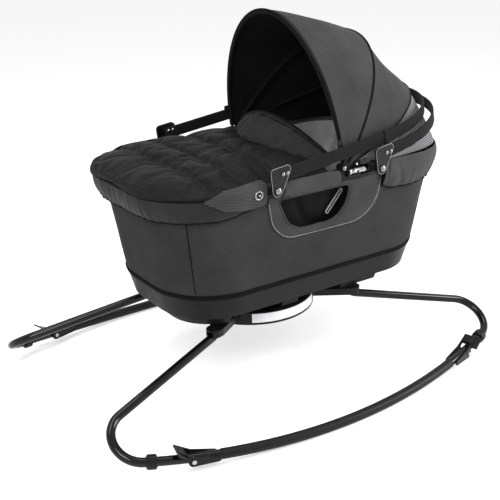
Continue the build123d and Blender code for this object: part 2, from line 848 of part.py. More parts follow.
mattress_z = liner_floor_z + liner_thickness + seat_gap
mattress_grow = liner_grow - liner_thickness - mattress_gap
with BuildPart() as mattress:
    levels = [
        (0, mattress_edge),
        (mattress_edge, 0),
        (mattress_thickness - mattress_edge, 0),
        (mattress_thickness, mattress_edge),
        (mattress_thickness + mattress_crown, mattress_crown_inset),
    ]
    for (low, low_inset), (high, high_inset) in zip(levels, levels[1:]):
        loft([tub_ring(mattress_z, mattress_grow - low_inset, mattress_z + low),
              tub_ring(mattress_z, mattress_grow - high_inset, mattress_z + high)])
save(mattress, "mattress")

# Wire loops that lie on the liner behind the hand openings
liner_out = (wall_thickness + liner_gap) * cos(wall_lean)
loop_plane = side_plane(-liner_out + seat_gap)
with BuildPart() as pocket_loop:
    with BuildSketch(loop_plane):
        with Locations(Location((loop_x, along_side(loop_z)), loop_angle)):
            SlotOverall(loop_length, loop_width)
            SlotOverall(loop_length - 2 * loop_wire, loop_width - 2 * loop_wire, mode=Mode.SUBTRACT)
    extrude(amount=loop_wire)
save(both_sides(pocket_loop), "pocket_loops")

# Padded grab bars along the rim
with BuildPart() as grab_bar:
    bar_centre_y = -(rim_width_half + rim_tube_radius + bar_gap + bar_half_depth)
    for x, share in ((bar_start_x, bar_end_share), (bar_start_x + bar_taper, 1),
                     (bar_end_x - bar_taper, 1), (bar_end_x, bar_end_share)):
        with BuildSketch(Plane(origin=(x, bar_centre_y, bar_z), x_dir=(0, 1, 0), z_dir=(1, 0, 0))):
            Ellipse(bar_half_depth * share, bar_half_height * share)
    loft(ruled=True)
save(grab_bar, "grab_bar_near")
save(far_copy(grab_bar), "grab_bar_far")


# Carry bails

class Bail:
    """A flat band bent round the tub in a tilted plane through its pivots."""

    def __init__(self, pivot_x, tilt, offset, half_width, reach, end_reach):
        self.offset = offset
        self.half_width = half_width
        self.leg = reach - end_reach
        self.end_reach = end_reach
        self.plane = Plane(
            origin=(pivot_x, 0, bail_pivot_z),
            x_dir=(cos(radians(tilt)), 0, sin(radians(tilt))),
            z_dir=(-sin(radians(tilt)), 0, cos(radians(tilt))),
        )
        self.inner_face = half_width + bail_thickness / 2 + plate_gap
        self.side = Plane(
            origin=(pivot_x, -self.inner_face, bail_pivot_z),
            x_dir=self.plane.x_dir,
            z_dir=(0, -1, 0),
        )

    def outline(self, height, thickness, start):
        """The band's bent strip of one thickness, seen square to the bail's plane."""
        with BuildSketch(self.plane.offset(height)) as strip:
            for grow, mode in ((thickness / 2, Mode.ADD), (-thickness / 2, Mode.SUBTRACT)):
                width = self.half_width + grow
                begin = start if grow > 0 else start - overrun
                with BuildLine() as edge:
                    Line((begin, -width), (self.leg, -width))
                    EllipticalCenterArc((self.leg, 0), self.end_reach + grow, width, -90, arc_size=180)
                    Line((self.leg, width), (begin, width))
                    Line((begin, width), (begin, -width))
                make_face(mode=mode)
        return strip.sketch

    def band(self):
        with BuildPart() as band:
            add(self.outline(self.offset - band_width / 2, bail_thickness, bail_leg_start))
            extrude(amount=band_width)
            add(self.rivet_holes(), mode=Mode.SUBTRACT)
        return band

    def rivet_places(self):
        return Locations((rivet_first_x, rivet_first_rise), (rivet_second_x, rivet_second_rise))

    def rivet_holes(self):
        """Cylinders for the rivet holes on both sides."""
        with BuildPart() as near:
            with BuildSketch(self.side.offset(-bail_thickness - overrun)):
                with self.rivet_places():
                    Circle(rivet_shank / 2 + bore_fit)
            extrude(amount=bail_thickness + plate_thickness + 2 * overrun)
        return both_sides(near).part

    def plates(self):
        """Near plate with its eye boss, and its far copy."""
        with BuildPart() as plate:
            with BuildSketch(self.side):
                Circle(plate_eye_radius)
                with Locations((-plate_back, plate_rise), (plate_front, plate_rise)):
                    Circle(plate_corner_radius)
                make_hull()
            extrude(amount=plate_thickness)
            with BuildSketch(self.side):
                Circle(pivot_boss_radius)
            extrude(amount=-(self.inner_face - lug_face - seat_gap))
            with BuildSketch(self.side.offset(-self.inner_face)):
                Circle(pin_diameter / 2 + bore_fit)
            extrude(amount=self.inner_face + plate_thickness + overrun, mode=Mode.SUBTRACT)
            add(self.rivet_holes(), mode=Mode.SUBTRACT)
        return both_sides(plate)

    def rivets(self):
        """Rivets through each plate and the band."""
        with BuildPart() as near:
            with BuildSketch(self.side.offset(plate_thickness)):
                with self.rivet_places():
                    Circle(rivet_head / 2)
            extrude(amount=rivet_head_height)
            with BuildSketch(self.side.offset(plate_thickness)):
                with self.rivet_places():
                    Circle(rivet_shank / 2)
            extrude(amount=-(plate_thickness + plate_gap + bail_thickness))
            with BuildSketch(self.side.offset(-plate_gap - bail_thickness)):
                with self.rivet_places():
                    Circle(rivet_head / 2)
            extrude(amount=-rivet_tail_height)
        return both_sides(near)

    def keepers(self):
        """Thin loops round the band, one on each leg."""
        grip = keeper_gap + keeper_thickness
        with BuildPart() as pair:
            add(self.outline(self.offset - band_width / 2 - grip, bail_thickness + 2 * grip, bail_leg_start))
            extrude(amount=band_width + 2 * grip)
            add(self.outline(self.offset - band_width / 2 - keeper_gap, bail_thickness + 2 * keeper_gap,
                             bail_leg_start), mode=Mode.SUBTRACT)
            extrude(amount=band_width + 2 * keeper_gap, mode=Mode.SUBTRACT)
            with BuildSketch(self.plane.offset(self.offset - band_width)):
                with Locations((keeper_s, 0)):
                    Rectangle(keeper_length, 4 * self.half_width)
            extrude(amount=2 * band_width, mode=Mode.INTERSECT)
        return pair

    def pivot_pins(self):
        """The pivot pins, riveted into their lugs on the rim."""
        with BuildPart() as near:
            with BuildSketch(self.side.offset(plate_thickness + seat_gap)):
                Circle(pin_head_diameter / 2)
            extrude(amount=pin_head_height)
            with BuildSketch(self.side.offset(plate_thickness + seat_gap)):
                Circle(pin_diameter / 2)
            extrude(amount=lug_seat - self.inner_face - plate_thickness)
        return both_sides(near).part

    def lugs(self):
        """The lugs on the rim tube that carry the pivot pins."""
        with BuildPart() as near:
            with BuildSketch(self.side.offset(lug_seat - self.inner_face)):
                Circle(lug_radius)
                Circle(pin_diameter / 2 + bore_fit, mode=Mode.SUBTRACT)
            extrude(amount=lug_face - lug_seat)
        return both_sides(near).part


lug_seat = rim_width_half + rim_tube_radius + seat_gap
lug_face = front_half_width - bail_thickness / 2 - lug_face_gap
front_bail = Bail(front_pivot_x, front_tilt, front_offset, front_half_width, front_reach, front_end_reach)
rear_bail = Bail(rear_pivot_x, rear_tilt, rear_offset, rear_half_width, rear_reach, rear_end_reach)
for bail, name in ((front_bail, "front_bail"), (rear_bail, "rear_bail")):
    save(bail.band(), f"{name}_band")
    save(bail.plates(), f"{name}_plates")
    save(bail.rivets(), f"{name}_rivets")
save(front_bail.keepers(), "front_bail_keepers")

with BuildPart() as bail_pivot_pins:
    add(front_bail.pivot_pins())
    add(rear_bail.pivot_pins())
save(bail_pivot_pins, "bail_pivot_pins")

with BuildPart() as bail_lugs:
    add(front_bail.lugs())
    add(rear_bail.lugs())
save(bail_lugs, "bail_lugs")


# Canopy

def hoop_plane(tilt):
    """Plane of a hoop: across the tub, and up along the hoop's tilt."""
    return Plane(
        origin=(canopy_x, 0, canopy_z),
        x_dir=(0, 1, 0),
        z_dir=(sin(radians(tilt)), 0, -cos(radians(tilt))),
    )


def hoop_points(half_width, reach, power, hem):
    """Points of a superellipse arch, from one hem over the top to the other."""
    start = degrees(asin((hem / reach) ** (power / 2)))
    points = []
    for step in range(hoop_steps + 1):
        turn = radians(start + (180 - 2 * start) * step / hoop_steps)
        across = abs(cos(turn)) ** (2 / power) * (1 if cos(turn) > 0 else -1)
        points.append((half_width * across, reach * sin(turn) ** (2 / power)))
    return points


def hoop_section(tilt, reach, power, hem):
    """Crescent section of the canopy's shell in one hoop plane."""
    outer = hoop_points(canopy_half_width, reach, power, hem)
    inner = hoop_points(canopy_half_width - canopy_shell, reach - canopy_shell, power, hem)
    with BuildSketch(hoop_plane(tilt)) as section:
        with BuildLine():
            Spline(outer)
            Line(outer[-1], inner[-1])
            Spline(inner[::-1])
            Line(inner[0], outer[0])
        make_face()
    return section.sketch


def canopy_panel(start, end, sag):
    """Shell between two hoops, drawn in a little halfway between them."""
    with BuildPart() as panel:
        sections = []
        for step in range(panel_steps + 1):
            share = step / panel_steps
            tilt, reach, power, hem = [a + share * (b - a) for a, b in zip(start, end)]
            sections.append(hoop_section(tilt, reach * (1 - sag * sin(radians(180 * share))), power, hem))
        loft(sections, ruled=True)
    return panel


def bow_tube(tilt, half_width, reach, start_angle, end_angle):
    """Round bow along part of an ellipse in its hoop plane."""
    with BuildLine(hoop_plane(tilt)) as bow_line:
        EllipticalCenterArc((0, 0), half_width, reach, start_angle, arc_size=end_angle - start_angle)
    return arc_tube(bow_line.wire(), bow_diameter / 2)


def bow_with_eyes(tilt, half_width, reach):
    """Half a bow that ends in a flat eye on the pivot axis, and its mirror image."""
    half_bow = bow_tube(tilt, half_width, reach, bow_start_angle, 90)
    eye_plane = Plane(
        origin=(canopy_x, half_width - eye_thickness / 2, canopy_z),
        x_dir=(1, 0, 0),
        z_dir=(0, 1, 0),
    )
    with BuildPart() as eyed:
        add(half_bow.part)
        with BuildSketch(eye_plane):
            Circle(eye_radius)
        extrude(amount=eye_thickness)
        with BuildSketch(eye_plane.offset(-overrun)):
            Circle(canopy_pin_diameter / 2 + bore_fit)
        extrude(amount=eye_thickness + 2 * overrun, mode=Mode.SUBTRACT)
        mirror(about=Plane.XZ)
    return eyed


bow_inset = canopy_shell + seat_gap + bore_fit + bow_diameter / 2
front_bow_width = canopy_half_width - bow_inset
mid_bow_width = front_bow_width - mid_bow_inset
front_bow_height = front_bow_reach - bow_inset
save(bow_with_eyes(front_bow_tilt, front_bow_width, front_bow_height), "canopy_front_bow")
save(bow_with_eyes(mid_bow_tilt, mid_bow_width, mid_bow_reach - bow_inset), "canopy_mid_bow")
rear_hoop_end_angle = 180 - rear_hoop_start_angle
rear_hoop_height = rear_hoop_reach - bow_inset
save(bow_tube(rear_hoop_tilt, front_bow_width, rear_hoop_height, rear_hoop_start_angle, rear_hoop_end_angle),
     "canopy_rear_hoop")

save(canopy_panel((front_bow_tilt, front_bow_reach, 2, canopy_hem),
                  (mid_bow_tilt + panel_split_angle, mid_bow_reach, 2, canopy_hem), panel_sag_share),
     "canopy_front_panel")
mid_panel_end = (rear_hoop_tilt + panel_split_angle, rear_hoop_reach, rear_hoop_power, canopy_hem)
save(canopy_panel((mid_bow_tilt - panel_split_angle, mid_bow_reach, 2, canopy_hem), mid_panel_end,
                  panel_sag_share), "canopy_mid_panel")

with BuildPart() as canopy_rear_panel:
    rear_panel_tilt = rear_hoop_tilt - panel_split_angle
    loft([
        hoop_section(rear_panel_tilt, rear_hoop_reach, rear_hoop_power, rear_panel_top_hem),
        hoop_section(rear_panel_mid_tilt, rear_panel_mid_reach, rear_panel_mid_power, rear_panel_mid_hem),
        hoop_section(0, rim_hoop_reach, rim_hoop_power, rear_panel_hem),
    ], ruled=True)
save(canopy_rear_panel, "canopy_rear_panel")

# Hinge plates on the rim, with the pins of both bows
hinge_face = front_bow_width - eye_thickness / 2 - seat_gap
hinge_plane = Plane(origin=(0, -hinge_face, 0), x_dir=(1, 0, 0), z_dir=(0, -1, 0))
with BuildPart() as hinge_plate:
    with BuildSketch(hinge_plane):
        with Locations(((hinge_plate_start_x + hinge_plate_end_x) / 2,
                        (hinge_plate_low_z + hinge_plate_top_z) / 2)):
            RectangleRounded(hinge_plate_end_x - hinge_plate_start_x,
                             hinge_plate_top_z - hinge_plate_low_z, hinge_plate_corner)
    extrude(amount=-(hinge_face - lug_seat))
    with BuildSketch(hinge_plane):
        with Locations(((hinge_housing_start_x + hinge_housing_end_x) / 2,
                        (hinge_plate_low_z + hinge_housing_top_z) / 2)):
            RectangleRounded(hinge_housing_end_x - hinge_housing_start_x,
                             hinge_housing_top_z - hinge_plate_low_z, hinge_plate_corner)
            SlotOverall(hinge_slot_length, hinge_slot_width, mode=Mode.SUBTRACT)
    extrude(amount=hinge_housing_depth)
    with BuildSketch(hinge_plane.offset(-2 * overrun)):
        with Locations((canopy_x, canopy_z)):
            Circle(canopy_pin_diameter / 2 + bore_fit)
    extrude(amount=4 * overrun, mode=Mode.SUBTRACT)
save(hinge_plate, "hinge_plate_near")
save(far_copy(hinge_plate), "hinge_plate_far")

pin_inner_y = mid_bow_width - eye_thickness / 2 - seat_gap
pin_outer_y = front_bow_width + eye_thickness / 2 + seat_gap
pin_plane = Plane(origin=(canopy_x, -pin_outer_y, canopy_z), x_dir=(1, 0, 0), z_dir=(0, -1, 0))
with BuildPart() as canopy_pin:
    with BuildSketch(pin_plane):
        Circle(canopy_pin_head / 2)
    extrude(amount=canopy_pin_head_height)
    with BuildSketch(pin_plane):
        Circle(canopy_pin_diameter / 2)
    extrude(amount=pin_inner_y - pin_outer_y)
    with BuildSketch(pin_plane.offset(pin_inner_y - pin_outer_y)):
        Circle(canopy_pin_head / 2)
    extrude(amount=-canopy_pin_head_height)
save(both_sides(canopy_pin), "canopy_pins")

# Plates riveted to the legs of the front bow, in front of the fabric
bow_plate_plane = Plane(
    origin=(canopy_x, -front_bow_width - bow_diameter / 2 - seat_gap, canopy_z),
    x_dir=(cos(radians(front_bow_tilt)), 0, sin(radians(front_bow_tilt))),
    z_dir=(0, -1, 0),
)
with BuildPart() as bow_plate:
    with BuildSketch(bow_plate_plane):
        with Locations((bow_plate_rise, bow_plate_width / 2 + bow_plate_gap)):
            RectangleRounded(bow_plate_length, bow_plate_width, bow_plate_width / 4)
    extrude(amount=bow_plate_thickness)
save(both_sides(bow_plate), "bow_plates")

# Foot cover: padded top with cross channels
cover_foot_x = tub_x - rim_half_length - cover_overhang + cover_foot_inset


def cover_half_width(x):
    """Half width of the foot cover's top at a place along the tub."""
    if x > cover_side_x:
        return cover_inner_half_width
    past_corner = tub_x - (rim_half_length - rim_radius) - x
    radius = rim_radius + cover_overhang
    straight = rim_half_width - rim_radius
    if past_corner <= 0:
        return straight + radius
    return straight + sqrt(radius**2 - past_corner**2)


def cover_section(x, crown):
    """Padded section across the tub with a crowned top and a hollow underside."""
    half = cover_half_width(x)
    low = cover_low_z
    edge = cover_low_z + cover_edge_height
    with BuildSketch(Plane(origin=(x, 0, 0), x_dir=(0, 1, 0), z_dir=(1, 0, 0))) as section:
        with BuildLine():
            Line((-half, low), (-half, edge))
            ThreePointArc((-half, edge), (0, edge + crown), (half, edge))
            Line((half, edge), (half, low))
            ThreePointArc((half, low), (0, edge + crown - cover_thickness_mid), (-half, low))
        make_face()
    return section.sketch


cover_length = cover_head_x - cover_foot_x
with BuildPart() as foot_cover_top:
    sections = []
    for share, groove in cover_puff_shares:
        x = cover_foot_x + share * cover_length
        rise = sin(radians(90 * share ** cover_rise_share))
        crown = cover_end_crown + (cover_full_crown - cover_end_crown) * rise - groove * cover_groove
        sections.append(cover_section(x, crown))
    loft(sections, ruled=True)
save(foot_cover_top, "foot_cover_top")

with BuildPart() as foot_cover_skirt:
    skirt_top_z = cover_low_z - seat_gap
    loft([tub_ring(skirt_low_z, skirt_low_offset), tub_ring(skirt_top_z, cover_overhang)])
    loft([tub_ring(skirt_low_z, skirt_low_offset - skirt_thickness),
          tub_ring(skirt_top_z, cover_overhang - skirt_thickness)], mode=Mode.SUBTRACT)
    split(bisect_by=Plane.YZ.offset(cover_side_x), keep=Keep.BOTTOM)
save(foot_cover_skirt, "foot_cover_skirt")

# Raised collar at the head end of the foot cover
with BuildPart() as foot_cover_collar:
    sections = []
    for step in range(-collar_steps, collar_steps + 1):
        y = flap_end_y * step / collar_steps
        mid_share = 1 - (step / collar_steps) ** 2
        low = Vector(flap_end_low_x + mid_share * (flap_low_x - flap_end_low_x),
                     flap_end_low_z + mid_share * (flap_low_z - flap_end_low_z))
        high = Vector(flap_end_high_x + mid_share * (flap_high_x - flap_end_high_x),
                      flap_end_high_z + mid_share * (flap_high_z - flap_end_high_z))
        up = (high - low).rotate(Axis.Z, 90).normalized() * flap_thickness
        with BuildSketch(Plane(origin=(0, y, 0), x_dir=(1, 0, 0), z_dir=(0, -1, 0))) as section:
            Polygon(low, high, high + up, low + up, align=None)
        sections.append(section.sketch)
    loft(sections, ruled=True)
save(foot_cover_collar, "foot_cover_collar")

# Side tabs of the foot cover with snap rings
tab_face = rim_half_width + cover_overhang + seat_gap
tab_x = cover_side_x - tab_length / 2
tab_plane = Plane(origin=(tab_x, -tab_face, tab_z), x_dir=(1, 0, 0), z_dir=(0, -1, 0))
with BuildPart() as side_tab:
    with BuildSketch(tab_plane):
        RectangleRounded(tab_length, tab_height, tab_corner)
    extrude(amount=tab_thickness)
save(both_sides(side_tab), "side_tabs")

snap_face = tab_face + tab_thickness + bore_fit
snap_plane = Plane(origin=(snap_x, -snap_face, tab_z), x_dir=(1, 0, 0), z_dir=(0, -1, 0))
with BuildPart() as snap:
    with BuildSketch(snap_plane):
        Circle(snap_radius)
        Circle(snap_hole_radius, mode=Mode.SUBTRACT)
        Circle(snap_stud_radius)
    extrude(amount=snap_thickness)
save(both_sides(snap), "snap_rings")

# Gathered cover round the head end
head_cover_top_z = canopy_z - seat_gap
with BuildPart() as head_cover:
    rings = [(head_cover_low_z, head_cover_low_offset), (head_cover_mid_z, head_cover_mid_offset),
             (head_cover_top_z, head_cover_top_offset)]
    for (low_z, low_offset), (high_z, high_offset) in zip(rings, rings[1:]):
        loft([tub_ring(low_z, low_offset), tub_ring(high_z, high_offset)])
    for (low_z, low_offset), (high_z, high_offset) in zip(rings, rings[1:]):
        loft([tub_ring(low_z, low_offset - head_cover_thickness),
              tub_ring(high_z, high_offset - head_cover_thickness)], mode=Mode.SUBTRACT)
    split(bisect_by=Plane.YZ.offset(head_cover_start_x), keep=Keep.TOP)
save(head_cover, "head_cover")
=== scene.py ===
import json
import math

import bpy
import numpy as np
from mathutils import Matrix, Vector, noise

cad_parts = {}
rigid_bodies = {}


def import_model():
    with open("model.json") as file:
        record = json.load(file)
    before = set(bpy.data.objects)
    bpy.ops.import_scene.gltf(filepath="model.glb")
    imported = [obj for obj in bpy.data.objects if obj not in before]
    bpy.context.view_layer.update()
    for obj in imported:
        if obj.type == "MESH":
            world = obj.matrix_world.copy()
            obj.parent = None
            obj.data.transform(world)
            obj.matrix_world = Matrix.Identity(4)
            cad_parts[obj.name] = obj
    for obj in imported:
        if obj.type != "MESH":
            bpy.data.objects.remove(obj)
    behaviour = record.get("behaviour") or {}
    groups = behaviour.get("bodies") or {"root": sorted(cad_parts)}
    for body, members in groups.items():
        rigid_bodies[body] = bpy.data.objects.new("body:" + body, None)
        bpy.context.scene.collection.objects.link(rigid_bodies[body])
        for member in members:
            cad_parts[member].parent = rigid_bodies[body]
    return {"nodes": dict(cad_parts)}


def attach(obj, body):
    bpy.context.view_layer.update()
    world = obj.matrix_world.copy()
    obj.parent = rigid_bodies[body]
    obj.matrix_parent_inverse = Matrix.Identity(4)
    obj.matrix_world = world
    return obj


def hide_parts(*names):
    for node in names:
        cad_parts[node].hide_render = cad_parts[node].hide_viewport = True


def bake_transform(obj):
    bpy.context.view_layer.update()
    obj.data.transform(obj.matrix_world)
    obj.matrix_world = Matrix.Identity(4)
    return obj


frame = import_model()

scene = bpy.context.scene
nodes = frame["nodes"]
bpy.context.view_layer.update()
MM = 0.001

# Shape of the tub's outside: height, half length, half width and corner radius in millimetres
TUB_X = 63.0
LEVELS = ((205, 321, 164, 119), (208, 327, 170, 125), (268, 344, 187, 143), (487, 374, 206, 135))
SIDE_SLOPE = 19.0 / 219.0
SEAM_Z = 268.0
SEAM_HALF_WIDTH = 187.0
RIM_Z = 487.0
WALL_TOP = 473.0
RING_POINTS = 460  # points round a ring of the wall and its tape
SIDES = ((-1, "near"), (1, "far"))

# Grab bars: foot end and length, distance from the tub's middle, height, and half sizes across and up
BAR_FOOT, BAR_LENGTH = -66, 150
BAR_Y, BAR_Z = 215.7, 480
BAR_ACROSS, BAR_UP = 11.0, 18.6

# Liner and mattress: lower and upper height of the liner's side, underside of the pad, and how far
# both lie inside the tub's outline
LINER_LOW, LINER_TOP = 221, 488.6
PAD_Z = 219.6
LINER_INSIDE, PAD_INSIDE = 19.0, 29

# Foot cover: ends of its top, half width over the rim and inside it, where its round end starts, and
# the lines it is quilted along
COVER_FOOT, COVER_HEAD = -338.0, 18.0
COVER_HALF, COVER_HALF_INSIDE = 219.0, 203.0
COVER_ROUND_FROM = -176.0
CHANNELS = (-224.6, -150.5, -66.3)

# Its side band's ends, offset from the tub and lower height, the half width of its collar, and its snap
BAND_CUT, BAND_OUT = -104, 12.2
BAND_LOW_Z = 446.0
COLLAR_HALF = 200
SNAP = (-125.0, 482.0)

# Canopy: tilt in degrees, reach and power of curve of its three hoops, and where they start above the pivot
PIVOT = (98.0, 497.0)
CANOPY_HALF_WIDTH = 216.5
FRONT_TILT, MIDDLE_TILT, REAR_TILT = 98.5, 55.0, 21.0
FRONT_REACH, MIDDLE_REACH, REAR_REACH = 315.0, 305.0, 339.0
FRONT_POWER, MIDDLE_POWER, REAR_POWER = 2, 2.14, 2.2
CANOPY_HEM = 13

# Carry straps: pivot, tilt in degrees, height above the pivot, half width, reach and reach of the round end
FRONT_STRAP = (-87.0, 7.0, 26.0, 224.5, 553.0, 300.0)
REAR_STRAP = (184.0, 9.5, 29.5, 230.7, 303.0, 261.0)
STRAP_START = 8.0
STRAP_HALF, PLATE_GAP, PLATE_THICK = 2.5, 0.2, 4.6

# Keepers on the front strap: distance from its ends and half width
KEEPER_AT, KEEPER_HALF = 289.0, 6


def wobble(x, y, z, size):
    """Smooth noise from -1 to 1 at a place in millimetres, with features of one size."""
    return noise.noise(Vector((x / size, y / size, z / size)))


# Materials

def feed(tree, node, inputs):
    """Sets a node's inputs to values, or links them where another node's output is given."""
    for key, value in inputs.items():
        if isinstance(value, bpy.types.NodeSocket):
            tree.links.new(value, node.inputs[key])
        else:
            node.inputs[key].default_value = value


def node_of(tree, kind, inputs, **settings):
    node = tree.nodes.new(kind)
    for key, value in settings.items():
        setattr(node, key, value)
    feed(tree, node, inputs)
    return node


def mix_colour(tree, factor, low, high):
    inputs = {"Factor": factor, "A": low, "B": high}
    return node_of(tree, "ShaderNodeMix", inputs, data_type="RGBA").outputs["Result"]


def ramp(tree, factor, low, high, start=0.0, end=1.0):
    """Remaps a factor from start..end to low..high."""
    inputs = {"Value": factor, "From Min": start, "From Max": end, "To Min": low, "To Max": high}
    return node_of(tree, "ShaderNodeMapRange", inputs).outputs["Result"]


def maths(tree, operation, a, b):
    return node_of(tree, "ShaderNodeMath", {0: a, 1: b}, operation=operation).outputs["Value"]


def weigh(tree, a, b, share):
    """The mean of two values, where a counts for its share and b for the rest."""
    return maths(tree, "ADD", maths(tree, "MULTIPLY", a, share), maths(tree, "MULTIPLY", b, 1 - share))


def noise_of(tree, vector, scale, detail, roughness):
    inputs = {"Vector": vector, "Scale": scale, "Detail": detail, "Roughness": roughness}
    return node_of(tree, "ShaderNodeTexNoise", inputs).outputs["Fac"]


def grey(level):
    return (level, level, level * 1.02, 1)


def start_material(name, roughness, metallic=0.0, sheen=0.0, specular=0.5):
    material = bpy.data.materials.new(name)
    material.use_nodes = True
    tree = material.node_tree
    shader = tree.nodes["Principled BSDF"]
    feed(tree, shader, {"Roughness": roughness, "Metallic": metallic, "Sheen Weight": sheen,
                        "Sheen Roughness": 0.45, "Specular IOR Level": specular})
    return material, tree, shader


def bump_from(tree, shader, height, strength, distance):
    bump = node_of(tree, "ShaderNodeBump", {"Height": height, "Strength": strength, "Distance": distance})
    feed(tree, shader, {"Normal": bump.outputs["Normal"]})


def hard_surface(name, low, high, roughness, grain, grain_depth, metallic=0.0, wear=0.0, specular=0.5):
    """Moulded or painted surface: mottled colour, uneven gloss, fine grain and a little edge wear."""
    material, tree, shader = start_material(name, roughness, metallic, specular=specular)
    place = node_of(tree, "ShaderNodeTexCoord", {}).outputs["Object"]
    blotch = noise_of(tree, place, 38.0, 4.0, 0.6)
    fine = noise_of(tree, place, grain, 2.0, 0.55)
    colour = mix_colour(tree, ramp(tree, blotch, 0.0, 1.0, 0.32, 0.7), low, high)
    if wear:
        edge = node_of(tree, "ShaderNodeNewGeometry", {}).outputs["Pointiness"]
        worn = maths(tree, "MULTIPLY", ramp(tree, edge, 0.0, wear, 0.53, 0.62), ramp(tree, blotch, 0.2, 1.0))
        colour = mix_colour(tree, worn, colour, (*(min(1.0, 3.5 * c + 0.03) for c in high[:3]), 1))
    gloss = ramp(tree, blotch, roughness * 0.85, min(1.0, roughness * 1.2), 0.3, 0.7)
    feed(tree, shader, {"Base Color": colour, "Roughness": gloss})
    bump_from(tree, shader, fine, 0.5, grain_depth)
    return material


def cloth(name, low, high, pitch, kind, turn=0.0, uv=True, sheen=0.03, depth=0.0003,
          contrast=0.55, roughness=0.9, blotch_size=9.0, specular=0.05):
    """Woven or knitted cloth. kind: twill (diagonal lines), plain (over and under) or rib (ridges)."""
    material, tree, shader = start_material(name, roughness, sheen=sheen, specular=specular)
    places = node_of(tree, "ShaderNodeTexCoord", {}).outputs
    turned = node_of(tree, "ShaderNodeMapping", {"Vector": places["UV" if uv else "Object"],
                                                 "Rotation": (0, 0, math.radians(turn))})

    def bands(direction, size):
        inputs = {"Vector": turned.outputs["Vector"], "Scale": 0.314 / size,
                  "Distortion": 0.25 if kind == "rib" else 0.6, "Detail": 1.0, "Detail Scale": 2.0}
        wave = node_of(tree, "ShaderNodeTexWave", inputs, wave_type="BANDS", bands_direction=direction)
        return wave.outputs["Fac"]

    across = "Y" if uv else "Z"
    if kind == "rib":
        height = weigh(tree, bands(across, pitch), bands("X", pitch * 0.45), 0.85)
    elif kind == "plain":
        height = maths(tree, "MULTIPLY", bands("X", pitch), bands(across, pitch))
    else:
        height = weigh(tree, bands("DIAGONAL", pitch), bands("X", pitch * 0.7), 0.8)
    blotch = noise_of(tree, places["Object"], blotch_size, 4.0, 0.62)
    fluff = noise_of(tree, places["Object"], 900.0, 2.0, 0.6)
    tone = weigh(tree, height, ramp(tree, blotch, 0.0, 1.0, 0.3, 0.7), contrast)
    rough = ramp(tree, blotch, roughness - 0.1, min(1.0, roughness + 0.06))
    feed(tree, shader, {"Base Color": mix_colour(tree, tone, grey(low), grey(high)), "Roughness": rough})
    relief = maths(tree, "ADD", height, maths(tree, "MULTIPLY", fluff, 0.35))
    bump_from(tree, shader, relief, 0.75, depth)
    return material


TUBE_PAINT = hard_surface("tube_paint", grey(0.0015), grey(0.003), 0.11, 650, 0.00001, wear=0.05,
                          specular=0.26)
SLEEVE = hard_surface("rocker_sleeve", grey(0.006), grey(0.010), 0.42, 900, 0.00012, specular=0.14)
BASE_PLASTIC = hard_surface("base_plastic", grey(0.003), grey(0.006), 0.36, 1100, 0.00010, wear=0.06,
                            specular=0.16)
TRAY_PLASTIC = hard_surface("tray_plastic", grey(0.008), grey(0.013), 0.46, 1400, 0.00016, specular=0.12)
PLATE_PAINT = hard_surface("plate_paint", grey(0.003), grey(0.006), 0.32, 800, 0.00004, wear=0.3,
                           specular=0.12)
BRIGHT = hard_surface("bright_metal", grey(0.34), grey(0.46), 0.30, 1200, 0.00001, metallic=1.0)
SNAP_METAL = hard_surface("snap_metal", grey(0.20), grey(0.30), 0.30, 1200, 0.00001, metallic=1.0)
BAND = hard_surface("blank_band", grey(0.70), grey(0.78), 0.45, 500, 0.00004)
LOOP_PLASTIC = hard_surface("loop_plastic", grey(0.34), grey(0.42), 0.35, 700, 0.00004)
BOARD = hard_surface("board", (0.16, 0.12, 0.08, 1), (0.22, 0.17, 0.11, 1), 0.7, 300, 0.0002)
# Painted highlight: light grey for the line round the strap plates, standing in for their lit edges
PLATE_EDGE_HIGHLIGHT = hard_surface("plate_edge_highlight", grey(0.20), grey(0.30), 0.35, 900, 0.00002)

CANOPY_CLOTH = cloth("canopy_cloth", 0.022, 0.062, 0.0032, "twill", contrast=0.5)
CANOPY_LINING = cloth("canopy_lining", 0.006, 0.012, 0.0030, "plain", contrast=0.4)
WALL_CLOTH = cloth("wall_cloth", 0.017, 0.048, 0.0031, "twill", contrast=0.6)
PANEL_CLOTH = cloth("panel_cloth", 0.032, 0.066, 0.0030, "plain", depth=0.0002, contrast=0.3)
BAR_CLOTH = cloth("bar_cloth", 0.028, 0.064, 0.0030, "twill", contrast=0.5)
QUILT_CLOTH = cloth("quilt_cloth", 0.007, 0.015, 0.0016, "plain", uv=False, sheen=0.0, depth=0.00012,
                    contrast=0.2, roughness=0.55, blotch_size=12.0)
GUSSET_CLOTH = cloth("gusset_cloth", 0.014, 0.028, 0.0016, "plain", depth=0.00015, contrast=0.25,
                     roughness=0.55, specular=0.08)
COLLAR_CLOTH = cloth("collar_cloth", 0.012, 0.032, 0.0036, "rib", contrast=0.5, roughness=0.8)
RIB_CLOTH = cloth("rib_cloth", 0.014, 0.085, 0.0034, "rib", depth=0.0005, contrast=0.75)
HEAD_CLOTH = cloth("head_cloth", 0.028, 0.085, 0.0042, "rib", depth=0.0004, contrast=0.6)
REAR_CLOTH = cloth("rear_cloth", 0.026, 0.30, 0.0060, "rib", depth=0.0008, contrast=0.9)
PIPING = cloth("piping_cloth", 0.004, 0.008, 0.0014, "plain", 45, uv=False, sheen=0.01, depth=0.0001,
               contrast=0.5, roughness=0.7)
WEBBING = cloth("webbing", 0.007, 0.018, 0.0026, "rib", contrast=0.6)
BINDING = cloth("binding_cloth", 0.004, 0.008, 0.0022, "plain", sheen=0.01, contrast=0.5)
SATIN = cloth("liner_satin", 0.20, 0.42, 0.0018, "plain", sheen=0.2, depth=0.0001, contrast=0.25,
              roughness=0.45, blotch_size=14.0, specular=0.3)
MESH_LINING = cloth("mesh_lining", 0.005, 0.014, 0.0040, "plain", 45, sheen=0.02, contrast=0.8)
